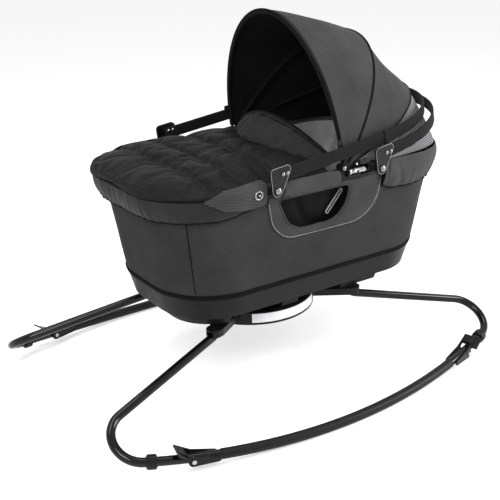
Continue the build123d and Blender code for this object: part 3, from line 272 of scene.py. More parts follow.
PAD_CLOTH = cloth("pad_cloth", 0.16, 0.24, 0.0024, "plain", uv=False, sheen=0.2, depth=0.0002,
                  contrast=0.3, roughness=0.8)
THREAD = cloth("thread", 0.42, 0.60, 0.0008, "plain", 30, uv=False, depth=0.0001, contrast=0.4,
               roughness=0.6)
DARK_THREAD = cloth("dark_thread", 0.02, 0.04, 0.0008, "plain", 30, uv=False, depth=0.0001)


# Mesh helpers

def make(name, points, faces, materials, uvs=None):
    """A smooth mesh object from points in millimetres."""
    mesh = bpy.data.meshes.new(name)
    mesh.from_pydata([tuple(float(c) * MM for c in p) for p in points], [], faces)
    if uvs is not None:
        layer = mesh.uv_layers.new(name="UVMap")
        layer.data.foreach_set("uv", np.asarray(uvs, np.float32).reshape(-1) * MM)
    for material in materials:
        mesh.materials.append(material)
    mesh.polygons.foreach_set("use_smooth", [True] * len(mesh.polygons))
    mesh.update()
    obj = bpy.data.objects.new(name, mesh)
    scene.collection.objects.link(obj)
    return obj


def lengths(points, closed):
    """Distance along a line of points, with the way back to the first one if it is closed."""
    line = np.vstack([points, points[:1]]) if closed else points
    return np.concatenate([[0], np.cumsum(np.linalg.norm(np.diff(line, axis=0), axis=1))])


def grid(name, rows, materials, round_it=False, looped=False, caps=False, flip=False):
    """A sheet through rows of points. round_it closes each row, looped joins the last row to the first."""
    rows = np.asarray(rows, float)
    count, width = rows.shape[:2]
    along = lengths(rows[count // 2], round_it)
    up = lengths(rows[:, width // 2], looped)
    faces, uvs = [], []
    for i in range(count if looped else count - 1):
        for j in range(width if round_it else width - 1):
            ids = [(i, j), (i, j + 1), (i + 1, j + 1), (i + 1, j)]
            if flip:
                ids = ids[::-1]
            faces.append([(a % count) * width + b % width for a, b in ids])
            uvs += [(along[b], up[a]) for a, b in ids]
    if caps:
        first = list(range(width))
        last = [(count - 1) * width + j for j in range(width)]
        for ring in (first[::-1], last):
            ring = ring[::-1] if flip else ring
            faces.append(ring)
            uvs += [(along[j % width], 0) for j in ring]
    return make(name, rows.reshape(-1, 3), faces, materials, uvs)


def tangents(path, closed):
    if closed:
        step = np.roll(path, -1, axis=0) - np.roll(path, 1, axis=0)
    else:
        step = np.gradient(path, axis=0)
    return step / np.linalg.norm(step, axis=1)[:, None]


def circle(count):
    """Cosines and sines of directions round a full turn."""
    return [(math.cos(t), math.sin(t)) for t in np.linspace(0, 2 * math.pi, count, endpoint=False)]


def point_at(line, along, distance):
    """The place at a distance along a line of points."""
    return np.array([np.interp(distance, along, line[:, k]) for k in range(3)])


def tube(name, path, radius, material, closed=False, sides=10, body="tub"):
    """A round cord or piping along a path, riding on a body."""
    path = np.asarray(path, float)
    along = tangents(path, closed)
    side = np.cross(along, (0.13, 0.31, 0.94))
    side /= np.linalg.norm(side, axis=1)[:, None]
    other = np.cross(along, side)
    turns = circle(sides)
    rows = [[p + radius * (cosine * s + sine * o) for cosine, sine in turns]
            for p, s, o in zip(path, side, other)]
    obj = grid(name, rows, [material], round_it=True, looped=closed, caps=not closed)
    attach(obj, body)
    return obj


def thicken(obj, thickness, inner=False):
    """Gives a sheet its thickness in millimetres, with a second material on its inner face."""
    solid = obj.modifiers.new("thickness", "SOLIDIFY")
    solid.thickness = thickness * MM
    solid.offset = -1.0
    solid.use_even_offset = False
    if inner:
        solid.material_offset = 1
    return obj


def flat_uv(obj):
    """Lays the weave flat, as on a cloth that hangs along the tub's side."""
    for loop, place in zip(obj.data.loops, obj.data.uv_layers[0].data):
        co = obj.data.vertices[loop.vertex_index].co
        place.uv = (co.x, co.z)


def smooth(obj, levels=1):
    obj.modifiers.new("smooth", "SUBSURF")
    obj.modifiers["smooth"].levels = levels
    obj.modifiers["smooth"].render_levels = levels
    return obj


def resample(points, count, closed=False):
    """Points evenly spaced along a line."""
    points = np.asarray(points, float)
    along = lengths(points, closed)
    line = np.vstack([points, points[:1]]) if closed else points
    wanted = np.linspace(0, along[-1], count, endpoint=not closed)
    return np.stack([np.interp(wanted, along, line[:, k]) for k in range(line.shape[1])], axis=1)


def inflate(obj, pins, pressure, growth, cap, stiffness=12.0, steps=20):
    """Fills a sewn piece with a short cloth simulation. Pins stay and no point moves further than cap."""
    group = obj.vertex_groups.new(name="pins")
    for index, weight in enumerate(pins):
        if weight > 0:
            group.add([index], float(weight), "REPLACE")
    rest = np.array([v.co for v in obj.data.vertices])
    modifier = obj.modifiers.new("cloth", "CLOTH")
    settings = modifier.settings
    settings.quality = 5
    settings.mass = 0.25
    settings.tension_stiffness = stiffness
    settings.compression_stiffness = stiffness
    settings.shear_stiffness = stiffness / 2
    settings.bending_stiffness = 0.3
    settings.use_pressure = True
    settings.uniform_pressure_force = pressure
    settings.effector_weights.gravity = 0.0
    settings.vertex_group_mass = "pins"
    settings.shrink_min = -growth
    modifier.collision_settings.use_collision = False
    modifier.point_cache.frame_start = 1
    modifier.point_cache.frame_end = steps
    for step in range(1, steps + 1):
        scene.frame_set(step)
    moved = obj.evaluated_get(bpy.context.evaluated_depsgraph_get())
    shift = np.array([v.co for v in moved.data.vertices]) - rest
    obj.modifiers.remove(modifier)
    obj.vertex_groups.remove(group)
    scene.frame_set(1)
    size = np.linalg.norm(shift, axis=1)[:, None] + 1e-9
    limit = cap * MM
    shift *= limit * np.tanh(size / limit) / size
    obj.data.vertices.foreach_set("co", (rest + shift).reshape(-1).astype(np.float32))
    obj.data.update()
    return obj


# The tub's outline

def outline(z):
    low, high = LEVELS[0], LEVELS[1]
    for first, second in zip(LEVELS[1:], LEVELS[2:]):
        if z > first[0]:
            low, high = first, second
    share = (z - low[0]) / (high[0] - low[0])
    return [a + share * (b - a) for a, b in zip(low[1:], high[1:])]


def rim_path(z, grow, end=0, cut=0.0, count=400, height=None):
    """The outline at a height: the whole of it, or its foot end (-1) or head end (1) from x = cut."""
    half_length, half_width, radius = (v + grow for v in outline(z))
    reach, side = half_length - radius, half_width - radius
    height = z if height is None else height
    arc = np.radians(np.linspace(0, 90, 40))
    head = [(TUB_X + reach + radius * math.sin(a), -side - radius * math.cos(a)) for a in arc]
    if end:
        half = head if end > 0 else [(2 * TUB_X - x, y) for x, y in head]
        line = [(cut, -half_width)] + half + [(x, -y) for x, y in half[::-1]] + [(cut, half_width)]
        points = resample(line, count)
    else:
        half = head + [(x, -y) for x, y in head[::-1]]
        line = half + [(2 * TUB_X - x, y) for x, y in half[::-1]]
        points = resample(line, count, closed=True)
    return np.column_stack([points, np.full(len(points), float(height))])


def outward(points, end):
    """Level unit normals of a rim path round the foot end (-1) or head end (1), pointing outward."""
    step = tangents(points[:, :2], False)
    normals = np.column_stack([step[:, 1], -step[:, 0], np.zeros(len(step))])
    return normals if normals[len(points) // 2][0] * end > 0 else -normals


def radial(ring):
    """Level unit vectors from the tub's middle to the points of a ring."""
    normal = (ring - (TUB_X, 0, 0)) * (1, 1, 0)
    return normal / np.linalg.norm(normal, axis=1)[:, None]


def side_y(z, offset=0.0):
    """The near side's outer face at a height."""
    return -(SEAM_HALF_WIDTH + (z - SEAM_Z) * SIDE_SLOPE) - offset


def rounded(corners, radii, step=3.0):
    """A closed line of points with its corners rounded."""
    corners = [np.array(c, float) for c in corners]
    line = []
    for index, (corner, radius) in enumerate(zip(corners, radii)):
        before = corners[index - 1] - corner
        after = corners[(index + 1) % len(corners)] - corner
        before /= np.linalg.norm(before)
        after /= np.linalg.norm(after)
        half = math.acos(np.clip(np.dot(before, after), -1, 1)) / 2
        centre = corner + (before + after) / np.linalg.norm(before + after) * radius / math.sin(half)
        start = corner + before * radius / math.tan(half) - centre
        stop = corner + after * radius / math.tan(half) - centre
        for share in np.linspace(0, 1, 14):
            arm = start + share * (stop - start)
            line.append(centre + arm / np.linalg.norm(arm) * radius)
    points = np.array(line)
    return resample(points, int(lengths(points, True)[-1] / step), closed=True)


# Wall, binding and hand panels

OPENING = rounded([(-69, 457), (-38, 398), (-8, 381), (86, 381), (116, 412), (124, 457)],
                  [8, 44, 44, 58, 50, 10], 2.2)
PANEL = rounded([(-96, 466), (-82, 398), (-44, 363), (166, 363), (211, 398), (223, 466)],
                [8, 60, 60, 80, 75, 8], 2.2)


def wall():
    rows = []
    for z in np.linspace(SEAM_Z + 0.2, WALL_TOP, 46):
        ring = rim_path(z, 0.0, count=RING_POINTS)
        rise = (z - SEAM_Z) / (WALL_TOP - SEAM_Z)
        slack = [-0.9 * math.sin(math.pi * rise) + 0.9 * wobble(x, y, z * 0.6, 90)
                 + 0.5 * wobble(x + 300, y, z, 34) * (1 - rise) for x, y, _ in ring]
        rows.append(ring + radial(ring) * np.array(slack)[:, None])
    obj = grid("wall_cloth", rows, [WALL_CLOTH, MESH_LINING], round_it=True)
    thicken(obj, 1.6, inner=True)
    for sign in (-1, 1):
        ring = [(x, sign * 150.0, z) for x, z in OPENING], [(x, sign * 250.0, z) for x, z in OPENING]
        cutter = grid(f"cutter_{sign}", ring, [WALL_CLOTH], round_it=True, caps=True, flip=sign > 0)
        cut = obj.modifiers.new("opening", "BOOLEAN")
        cut.operation = "DIFFERENCE"
        cut.solver = "EXACT"
        cut.object = cutter
    bpy.context.view_layer.objects.active = obj
    for modifier in list(obj.modifiers):
        bpy.ops.object.modifier_apply(modifier=modifier.name)
    for sign in (-1, 1):
        bpy.data.objects.remove(bpy.data.objects[f"cutter_{sign}"])
    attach(obj, "tub")
    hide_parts("fabric_wall")
    return obj


wall()

# Seams where the wall's end and side cloths are sewn at the corners
SEAM_TURN = math.radians(44)
for end, end_word in ((-1, "foot"), (1, "head")):
    for sign, word in SIDES:
        line = []
        for z in np.linspace(SEAM_Z + 4, 470, 30):
            half_length, half_width, radius = outline(z)
            line.append((TUB_X + end * (half_length - radius + radius * math.sin(SEAM_TURN)),
                         sign * (half_width - radius + radius * math.cos(SEAM_TURN)), z))
        tube(f"wall_seam_{end_word}_{word}", line, 1.1, BINDING, sides=8)


def binding():
    """Folded tape round the seam between wall and tray."""
    profile = ((257.2, 0.3), (257.0, 1.4), (258.6, 2.2), (262.5, 2.5), (266.4, 2.2), (268.0, 1.4),
               (267.9, 0.3))
    rows = [rim_path(z, grow, count=RING_POINTS) for z, grow in profile]
    obj = grid("tray_tape", rows, [BINDING], round_it=True)
    thicken(obj, 0.25)
    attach(obj, "tub")
    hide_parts("tray_binding")


binding()


def stitches(name, path, length, pitch, width, material, normal, body="tub"):
    """Short raised threads along a path, all in one piece."""
    path = np.asarray(path, float)
    along = lengths(path, False)
    points, faces = [], []
    normal = np.array(normal, float)
    for start in np.arange(pitch / 2, along[-1] - length, pitch):
        ends = [point_at(path, along, start + d) for d in (0, length)]
        forward = (ends[1] - ends[0]) / np.linalg.norm(ends[1] - ends[0])
        side = np.cross(forward, normal)
        side /= np.linalg.norm(side)
        lift = np.cross(side, forward)
        base = len(points)
        profile = ((0.0, 0.35), (0.2, 1.0), (0.8, 1.0), (1.0, 0.35))
        for share, size in profile:
            centre = ends[0] + (ends[1] - ends[0]) * share
            for turn in range(6):
                angle = math.radians(60 * turn)
                points.append(centre + width / 2 * size * (math.cos(angle) * side + math.sin(angle) * lift))
        for ring in range(3):
            for turn in range(6):
                a, b = base + ring * 6 + turn, base + ring * 6 + (turn + 1) % 6
                faces.append((a, b, b + 6, a + 6))
        faces.append(tuple(base + k for k in range(5, -1, -1)))
        faces.append(tuple(base + 18 + k for k in range(6)))
    obj = make(name, points, faces, [material])
    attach(obj, body)
    return obj


def panel(sign, word):
    """Sewn panel round a hand opening, with its stitch line and rolled lip."""
    count = 240
    inner, outer = resample(OPENING, count, True), resample(PANEL, count, True)
    rows = []
    for share in np.linspace(0, 1, 9):
        line = inner + (outer - inner) * share
        swell = 1.0 + 1.1 * (1 - (2 * share - 1) ** 4)
        rows.append([(x, sign * -side_y(z, swell + 0.25 * wobble(x, z, sign * 50, 30)), z) for x, z in line])
    obj = grid(f"hand_panel_{word}", rows, [PANEL_CLOTH], round_it=True, flip=sign < 0)
    flat_uv(obj)
    thicken(obj, 0.9)
    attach(obj, "tub")
    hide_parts("hand_panels")
    inset = inner + (outer - inner) * 0.90
    seam = [(x, sign * -side_y(z, 2.25), z) for x, z in inset if z < 455]
    first = int(np.argmin([p[0] for p in seam]))
    seam = seam[first:] + seam[:first]
    stitches(f"hand_panel_thread_{word}", seam, 2.8, 3.9, 1.15, THREAD, (0, sign, 0))
    lip = [(x, sign * -side_y(z, 1.2), z) for x, z in inner]
    tube(f"hand_panel_lip_{word}", lip, 2.0, PANEL_CLOTH, closed=True)


for sign, word in SIDES:
    panel(sign, word)


def grab_bar(sign, word):
    """Padded bar with cloth wrapped round it."""
    rows, pins = [], []
    count, around = 48, 28
    for i in range(count):
        share = i / (count - 1)
        x = BAR_FOOT + BAR_LENGTH * share
        near_end = max(0.0, abs(2 * share - 1) - 0.86) / 0.14
        size = 0.90 - 0.16 * near_end ** 2
        row = []
        for k in range(around):
            turn = 2 * math.pi * k / around
            crease = 0.45 * wobble(x * 0.5, 60 * math.cos(turn), 60 * math.sin(turn), 16)
            across, rise = math.cos(turn), math.sin(turn)
            row.append((x, sign * (BAR_Y + (BAR_ACROSS * size + crease) * across),
                        BAR_Z + (BAR_UP * size + crease) * rise))
            pins.append(1.0 if share < 0.03 or share > 0.97 else 0.0)
        rows.append(row)
    obj = grid(f"grab_bar_pad_{word}", rows, [BAR_CLOTH], round_it=True, caps=True, flip=sign > 0)
    inflate(obj, pins, 3.0, 0.03, 1.6)
    smooth(obj)
    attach(obj, "tub")
    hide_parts(f"grab_bar_{word}")


for sign, word in SIDES:
    grab_bar(sign, word)


# Liner and mattress

def liner():
    rows = []
    for share in (0.25, 0.5, 0.75, 0.93):
        ring = rim_path(222, -18.8, count=300, height=218.9)
        rows.append((ring - (TUB_X, 0, 0)) * (share, share, 1) + (TUB_X, 0, 0))
    for z in np.linspace(LINER_LOW, LINER_TOP, 44):
        ring = rim_path(z, -LINER_INSIDE, count=300)
        rise = (z - LINER_LOW) / 268
        loose = 1 + 2.2 * max(0.0, rise - 0.55)
        along = lengths(ring, True)
        free = min(1.0, max(0.0, (rise - 0.25) / 0.4))
        drape = [loose * (2.4 * wobble(x * 1.4, y * 1.4, z * 0.4, 44)
                          + 1.4 * wobble(x, y, z * 0.8 + 90, 20)) - 1.2
                 - 9.0 * free * max(0.0, math.sin(s / 15 + 3.0 * wobble(x, y, z * 0.3, 75))) ** 2
                 for (x, y, _), s in zip(ring, along)]
        arch = math.sin(math.pi * rise)
        rows.append(ring + radial(ring) * (-2.4 * arch + np.minimum(0, np.array(drape)) * arch)[:, None])
    obj = grid("liner_bag", rows, [MESH_LINING, SATIN], round_it=True)
    thicken(obj, 1.6, inner=True)
    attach(obj, "tub")
    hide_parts("liner")
    hem = rim_path(488.4, -19.8, count=300)
    tube("liner_hem", hem, 1.7, SATIN, closed=True)


liner()


def mattress():
    """Bed pad with a rolled edge."""
    around = 180
    rows, pins = [], []
    profile = ((-60, 0.0), (-12, 0.0), (-4, 2.5), (0, 10), (0, 20), (-4, 27.5), (-12, 30), (-60, 35.5),
               (-110, 37.2))
    for inset, rise in profile:
        rows.append(rim_path(218.5, inset - PAD_INSIDE, count=around, height=PAD_Z + rise))
        pins += [1.0 if rise < 1 else 0.0] * around
    obj = grid("mattress_pad", rows, [PAD_CLOTH], round_it=True, caps=True)
    inflate(obj, pins, 2.0, 0.02, 2.0)
    smooth(obj)
    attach(obj, "tub")
    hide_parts("mattress")
    edge = rim_path(218.5, -31.2, count=around, height=247.8)
    tube("mattress_piping", edge, 1.6, SATIN, closed=True)


mattress()


# Foot cover

def push_foot(points):
    """Lets a line of the foot cover bulge over the foot end."""
    share = np.clip((-180 - points[:, 0]) / 143, 0, 1)
    return points - np.outer(10 * share ** 0.8, (1, 0, 0))


def cover_half(x):
    """Half width of the foot cover's top."""
    past = COVER_ROUND_FROM - x
    wide = COVER_HALF
    if past > 0:
        wide = 72 + 147 * math.sqrt(max(0.0, 1 - (past / 163.0) ** 2))
    tuck = 1 / (1 + math.exp(-(x + 106) / 2.2))
    return wide + (COVER_HALF_INSIDE - wide) * tuck


def cover_mid(x, v):
    """Height of the cover's middle layer."""
    share = min(1.0, max(0.0, (x - COVER_FOOT) / (COVER_HEAD - COVER_FOOT)))
    crown = 7 + 23 * math.sin(math.pi / 2 * share ** 0.55)
    return 491.6 + crown * (1 - abs(v) ** 4.5)


def foot_cover():
    count, across = 96, 104
    rows, pins = [], []
    for i in range(count):
        share = i / (count - 1)
        end = min(1.0, share / 0.035, (1 - share) / 0.03)
        loop = []
        for side in (1, -1):
            for k in range(across):
                v = (-1 + 2 * k / across) * side
                head = COVER_HEAD + (52 * v * v if v < 0 else 100 * v ** 1.5)
                x = COVER_FOOT + (head - COVER_FOOT) * share ** 1.25
                nearest = min(abs(x - c) for c in CHANNELS)
                groove = math.exp(-(nearest / 9.0) ** 2)
                edge = max(0.0, 1 - abs(v) ** 9) ** 0.5
                thick = 1.0 + 7.5 * edge * math.sqrt(end)
                z = cover_mid(x, v)
                if side > 0:
                    fold = 2.4 * wobble(x * 0.6 + v * 40, v * 190, 3, 34)
                    fold -= 2.2 * abs(wobble(x * 0.4, v * 200, 21, 30))
                    pucker = 2.3 * wobble(x * 0.22, v * 218, 9, 13) * math.exp(-(nearest / 24) ** 2)
                    z += thick - 8.0 * groove * (1 - abs(v) ** 9)
                    z += (fold * (1 - v ** 8) + pucker) * edge * end
                    pinned = nearest < 3.0 or abs(v) > 0.97 or end < 0.9
                else:
                    z -= min(thick, 3.2)
                    pinned = True
                loop.append((x, cover_half(x) * v, z))
                pins.append(1.0 if pinned else 0.0)
        rows.append(loop)
    obj = grid("foot_cover_quilt", rows, [QUILT_CLOTH], round_it=True, caps=True, flip=True)
    inflate(obj, pins, 4.0, 0.05, 7.0)
    smooth(obj)
    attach(obj, "tub")
    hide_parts("foot_cover_top")


foot_cover()


def skirt():
    """Side band of the foot cover, drawn in by elastic at its hem."""
    columns, count = 330, 22
    top = push_foot(rim_path(RIM_Z, BAND_OUT, end=-1, cut=BAND_CUT, count=columns))
    low = push_foot(rim_path(BAND_LOW_Z, 9.0, end=-1, cut=BAND_CUT, count=columns))
    normals = outward(top, -1)
    along = lengths(top, False)
    near_end = np.minimum(along, along[-1] - along)
    hem = [439.5 + 17 * math.exp(-((near - 10) / 62) ** 2) + 1.8 * wobble(s, 7, 0, 26)
           for s, near in zip(along, near_end)]
    rows = []
    for i in range(count):
        share = i / (count - 1)
        row = []
        for j in range(columns):
            z = hem[j] + (487.2 - hem[j]) * share
            base = low[j] + (top[j] - low[j]) * (z - BAND_LOW_Z) / (RIM_Z - BAND_LOW_Z)
            pull = (1 - share) ** 1.6
            gather = math.sin(along[j] / 3.4 + 2.5 * wobble(along[j], 0, 4, 40))
            calm = min(1.0, max(0.3, (near_end[j] - 110) / 70))
            puff = calm * (4.4 * math.sin(math.pi * share) + 1.9 * wobble(along[j], z * 0.5, 2, 24))
            drawn = 1.7 * calm * gather * pull * (0.6 + 0.4 * wobble(along[j], 0, 9, 50))
            depth = puff + drawn - 2.6 * (1 - share) ** 6
            point = base + normals[j] * depth * (0.35 + 0.65 * min(1.0, near_end[j] / 25))
            row.append((point[0], point[1], z))
        rows.append(row)
    obj = grid("foot_cover_band", rows, [GUSSET_CLOTH], flip=True)
    thicken(obj, 1.6)
    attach(obj, "tub")
    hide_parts("foot_cover_skirt")
    tube("foot_cover_hem", rows[0], 1.9, PIPING, sides=8)
    edge = push_foot(rim_path(489.5, 12.6, end=-1, cut=-154, count=columns, height=491.2))
    tube("foot_cover_piping", edge, 1.9, PIPING, sides=8)


skirt()


def side_tongue(sign, word):
    """Ribbed tongue of the foot cover that wraps its band and snaps to the side."""
    path = rim_path(RIM_Z, BAND_OUT, end=-1, cut=BAND_CUT, count=200)
    normals = outward(path, -1)
    along = lengths(path, False)
    shape = rounded([(0, 511), (104, 506), (147, 488), (100, 463), (52, 456), (0, 457)],
                    [16, 24, 4, 26, 24, 12], 2.6)
    centre = shape.mean(axis=0)
    snap_at = np.array([BAND_CUT - SNAP[0], SNAP[1]])
    rows, flat = [], []
    for share in np.linspace(0.03, 1, 18):
        line = centre + (shape - centre) * share
        row = []
        for s, z in line:
            base, normal = point_at(path, along, s), point_at(normals, along, s)
            fall = (RIM_Z - min(z, RIM_Z)) * SIDE_SLOPE + 0.9 + 10 * (max(0.0, z - 495) / 16) ** 2
            clear = min(1.0, max(0.0, (s - 34) / 34))
            bump = (1.2 + 3.4 * clear) * math.exp(-((z - 495) / 13) ** 2)
            dent = 1.1 * math.exp(-(np.hypot(*(np.array([s, z]) - snap_at)) / 10) ** 2)
            lift = 1.0 + 2.4 * clear + bump + (0.2 + 0.6 * clear) * wobble(s, z, sign * 70, 30) - dent
            shift = lift - fall
            row.append((base[0] + normal[0] * shift, -sign * (base[1] + normal[1] * shift), z))
            flat.append((s, z))
        rows.append(row)
    obj = grid(f"side_tongue_{word}", rows, [RIB_CLOTH], round_it=True, flip=sign > 0)
    for loop, place in zip(obj.data.loops, obj.data.uv_layers[0].data):
        s, z = flat[loop.vertex_index]
        place.uv = (s * MM, (z - 0.20 * s) * MM)
    thicken(obj, 1.2)
    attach(obj, "tub")
    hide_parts("side_tabs")
    tube(f"side_tongue_edge_{word}", rows[-1], 1.0, PIPING, closed=True, sides=8)


for sign, word in SIDES:
    side_tongue(sign, word)


def lathe(name, centre, axis_sign, profile, material, body="tub", sides=28):
    """A small turned piece on a level axis across the tub. Profile: radius and height pairs."""
    x, y, z = centre
    rows = []
    for radius, height in profile:
        rows.append([(x + radius * cosine, y + axis_sign * height, z + radius * sine)
                     for cosine, sine in circle(sides)])
    obj = grid(name, rows, [material], round_it=True, caps=True, flip=axis_sign > 0)
    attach(obj, body)
    return obj


def snap(sign, word):
    """Snap fastener: a pressed ring, a dark disc in its middle as painted shade of the hole, and a stud in
    it.
    """
    x, y, z = SNAP[0], sign * 219.4, SNAP[1]
    ring = ((6.4, 0.0), (6.3, 1.2), (7.0, 2.1), (8.4, 2.3), (9.6, 1.7), (10.4, 0.4), (10.4, -0.6))
    well = ((6.5, -0.4), (6.5, 0.35), (6.0, 0.5))
    stud = ((2.4, 0.3), (2.4, 1.0), (1.7, 1.6), (0.8, 1.8), (0.2, 1.85))
    obj = lathe(f"snap_ring_{word}", (x, y, z), sign, ring, SNAP_METAL)
    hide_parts("snap_rings")
    # Painted shade: a dark disc fills the ring's hole
    lathe(f"snap_well_shade_{word}", (x, y, z), sign, well, PIPING)
    lathe(f"snap_stud_{word}", (x + 1.6, y, z - 0.6), sign, stud, BRIGHT)


for sign, word in SIDES:
    snap(sign, word)


def collar():
    """Raised padded collar at the head end of the foot cover."""
    count, along = 76, 20
    rows, pins, crest, seam, ridge = [], [], [], [], []
    for i in range(count):
        y = -COLLAR_HALF + 2 * COLLAR_HALF * i / (count - 1)
        far = abs(y) / COLLAR_HALF
        if y > 0:  # the far side is pulled towards the head end
            middle = 1 - far ** 1.8
            low = np.array([-9 + 119 * far ** 1.3, 501.0 + 28.9 * middle])
            high = np.array([57 + 63 * far ** 1.6, 508.6 + 70.2 * middle])
        else:
            middle = 1 - far ** 2
            low = np.array([60 - 69 * middle, 501.0 + 28.9 * middle])
            high = np.array([84 - 27 * middle, 508.6 + 70.2 * middle])
        run = high - low
        up = np.array([-run[1], run[0]]) / np.linalg.norm(run)
        loop = []
        for side in (1, -1):
            for k in range(along):
                t = k / along if side > 0 else 1 - k / along
                swell = 4.2 * max(0.0, 1 - (2 * t - 1) ** 4) ** 0.5 + 0.4
                bend = 4.4 + 6.0 * math.sin(math.pi * t) * middle + 1.6 * wobble(y, 40 * t, 5, 34) * middle
                point = low + run * t + up * (bend + side * swell)
                loop.append((point[0], y, point[1]))
                pins.append(1.0 if t < 0.06 or t > 0.94 or i in (0, count - 1) else 0.0)
        rows.append(loop)
        crest.append((high[0] + up[0] * 4.4, y, high[1] + up[1] * 4.4))
        seam.append((low[0] + up[0] * 3.0, y, low[1] + up[1] * 3.0))
        edge = low + run * 0.86 + up * (9.4 + 3.0 * middle)
        ridge.append((edge[0], y, edge[1]))
    obj = grid("foot_cover_flap", rows, [COLLAR_CLOTH], round_it=True, caps=True)
    inflate(obj, pins, 4.0, 0.05, 5.0)
    smooth(obj)
    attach(obj, "tub")
    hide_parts("foot_cover_collar")
    tube("flap_piping", crest, 3.6, PIPING)
    tube("flap_seam", seam, 1.5, PIPING, sides=8)
    tube("flap_stitch_line", ridge, 1.6, PIPING, sides=8)


collar()


# Head end cover

def head_cover():
    """Ribbed cover gathered round the head end under the canopy."""
    columns, count = 300, 30
    hem_z, top_z = 424.5, 496.4
    rows = []
    for i in range(count):
        share = i / (count - 1)
        z = hem_z + (top_z - hem_z) * share
        offset = 5.0 + 10.5 * math.sin(math.pi * min(1.0, share * 0.86)) ** 0.8
        path = rim_path(min(z, RIM_Z), 0.0, end=1, cut=214, count=columns, height=z)
        normals = outward(path, 1)
        along = lengths(path, False)
        row = []
        for j, point in enumerate(path):
            near_end = min(along[j], along[-1] - along[j])
            pull = (1 - share) ** 1.8
            gather = math.sin(along[j] / 4.2 + 2.2 * wobble(along[j], 3, 1, 45))
            tuck = 3.6 * math.exp(-((near_end - 30 - 26 * (1 - share)) / 9) ** 2)
            drape = 2.2 * wobble(along[j], z * 0.7, 6, 42)
            depth = offset + 1.8 * gather * pull + (drape - tuck) * math.sin(math.pi * share)
            depth = max(depth, 2.2) if near_end > 12 else max(2.2, depth * 0.8)
            rise = 12 * math.exp(-((near_end + 6) / 22) ** 2) * (1 - share)
            sag = 2.0 * wobble(along[j], 1, 8, 60) * (1 - share)
            row.append((point[0] + normals[j][0] * depth, point[1] + normals[j][1] * depth, z + rise + sag))
        rows.append(row)
    obj = grid("head_end_cover", rows, [HEAD_CLOTH])
    for loop in obj.data.uv_layers[0].data:
        loop.uv = (loop.uv[0], loop.uv[1] - 0.10 * loop.uv[0])
    thicken(obj, 1.5)
    smooth(obj)
    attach(obj, "tub")
    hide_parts("head_cover")
    tube("head_cover_hem", rows[0], 1.9, PIPING, sides=8)
    tube("head_cover_edge_near", [r[0] for r in rows], 1.4, PIPING, sides=8)
    tube("head_cover_edge_far", [r[-1] for r in rows], 1.4, PIPING, sides=8)


head_cover()


# Canopy

def hoop(reach, power, hem, inset=0.0, count=84):
    """Points of one arch of the canopy from the far rim over the top to the near one."""
    start = math.asin((hem / reach) ** (power / 2))
    points = []
    for turn in np.linspace(start, math.pi - start, count):
        across = math.copysign(abs(math.cos(turn)) ** (2 / power), math.cos(turn))
        y = (CANOPY_HALF_WIDTH - inset) * across
        r = (reach - inset) * math.sin(turn) ** (2 / power)
        points.append((y, r))
    return points


def placed(tilt, y, r):
    turn = math.radians(tilt)
    return (PIVOT[0] + r * math.cos(turn), y, PIVOT[1] + r * math.sin(turn))


def canopy_sheet(name, start, end, steps, sag, folds):
    """One curved cloth between two arches, a little slack between them and folded near the pivots."""
    rows = []
    for i in range(steps):
        share = i / (steps - 1)
        tilt, reach, power = (a + share * (b - a) for a, b in zip(start, end))
        turn = math.radians(tilt)
        slack = math.sin(math.pi * share)
        row = []
        for y, r in hoop(reach, power, CANOPY_HEM):
            low = math.exp(-(r / 95) ** 2)
            crease = folds * low * math.sin(share * 9.5 + 1.5 * wobble(y, r, 4, 60)) * slack ** 0.5
            ripple = 0.9 * wobble(r * math.cos(turn), y, r * math.sin(turn), 70) * slack
            r_now = r * (1 - sag * slack) + ripple
            y_now = y - math.copysign(1, y) * (crease * slack + 1.5 * low * slack) * min(1.0, abs(y) / 60)
            row.append(placed(tilt, y_now, r_now))
        rows.append(row)
    return grid(name, rows, [CANOPY_CLOTH, CANOPY_LINING]), rows


front_sheet, front_rows = canopy_sheet(
    "canopy_front_cloth", (FRONT_TILT, FRONT_REACH, FRONT_POWER),
    (MIDDLE_TILT + 0.1, MIDDLE_REACH, MIDDLE_POWER), 34, 0.055, 2.6)
middle_sheet, _ = canopy_sheet(
    "canopy_middle_cloth", (MIDDLE_TILT - 0.1, MIDDLE_REACH, MIDDLE_POWER),
    (REAR_TILT, REAR_REACH, REAR_POWER), 26, 0.070, 2.2)


def rear_sheet():
    rows = []
    for i in range(18):
        share = i / 17
        tilt = REAR_TILT - 0.1 - 20.9 * share
        arch = hoop(REAR_REACH + 5 * share, REAR_POWER + 1.8 * share ** 1.6, 30 + 82 * share)
        rows.append([placed(tilt, y, r + 0.8 * wobble(y, r, tilt, 50)) for y, r in arch])
    obj = grid("canopy_rear_cloth", rows, [REAR_CLOTH, CANOPY_LINING])
    thicken(obj, 1.3, inner=True)
    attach(obj, "tub")
    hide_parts("canopy_rear_panel")


rear_sheet()


def facing_out(obj):
    """True if the sheet's normals point away from the middle of the canopy."""
    middle = Vector((0.15, 0, 0.55))
    return sum(face.normal.dot(face.center - middle) * face.area for face in obj.data.polygons) > 0


for sheet_object in (front_sheet, middle_sheet, bpy.data.objects["canopy_rear_cloth"],
                     bpy.data.objects["head_end_cover"], bpy.data.objects["foot_cover_band"]):
    if not facing_out(sheet_object):
        sheet_object.data.flip_normals()

for obj, tilt, span, body, node, flat in (
    (front_sheet, FRONT_TILT, 0.380, "canopy_front", "canopy_front_panel", (0.80, 0.24)),
    (middle_sheet, MIDDLE_TILT, 0.190, "canopy_middle", "canopy_mid_panel", (0.80, 0.20)),
):
    thicken(obj, 1.3, inner=True)
    back = Vector((math.sin(math.radians(tilt)), 0, -math.cos(math.radians(tilt))))
    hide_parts(node)
    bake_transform(obj)


def arch_piping(name, tilt, arch, radius, body):
    tube(name, [placed(tilt, y, r) for y, r in arch], radius, PIPING, body=body)


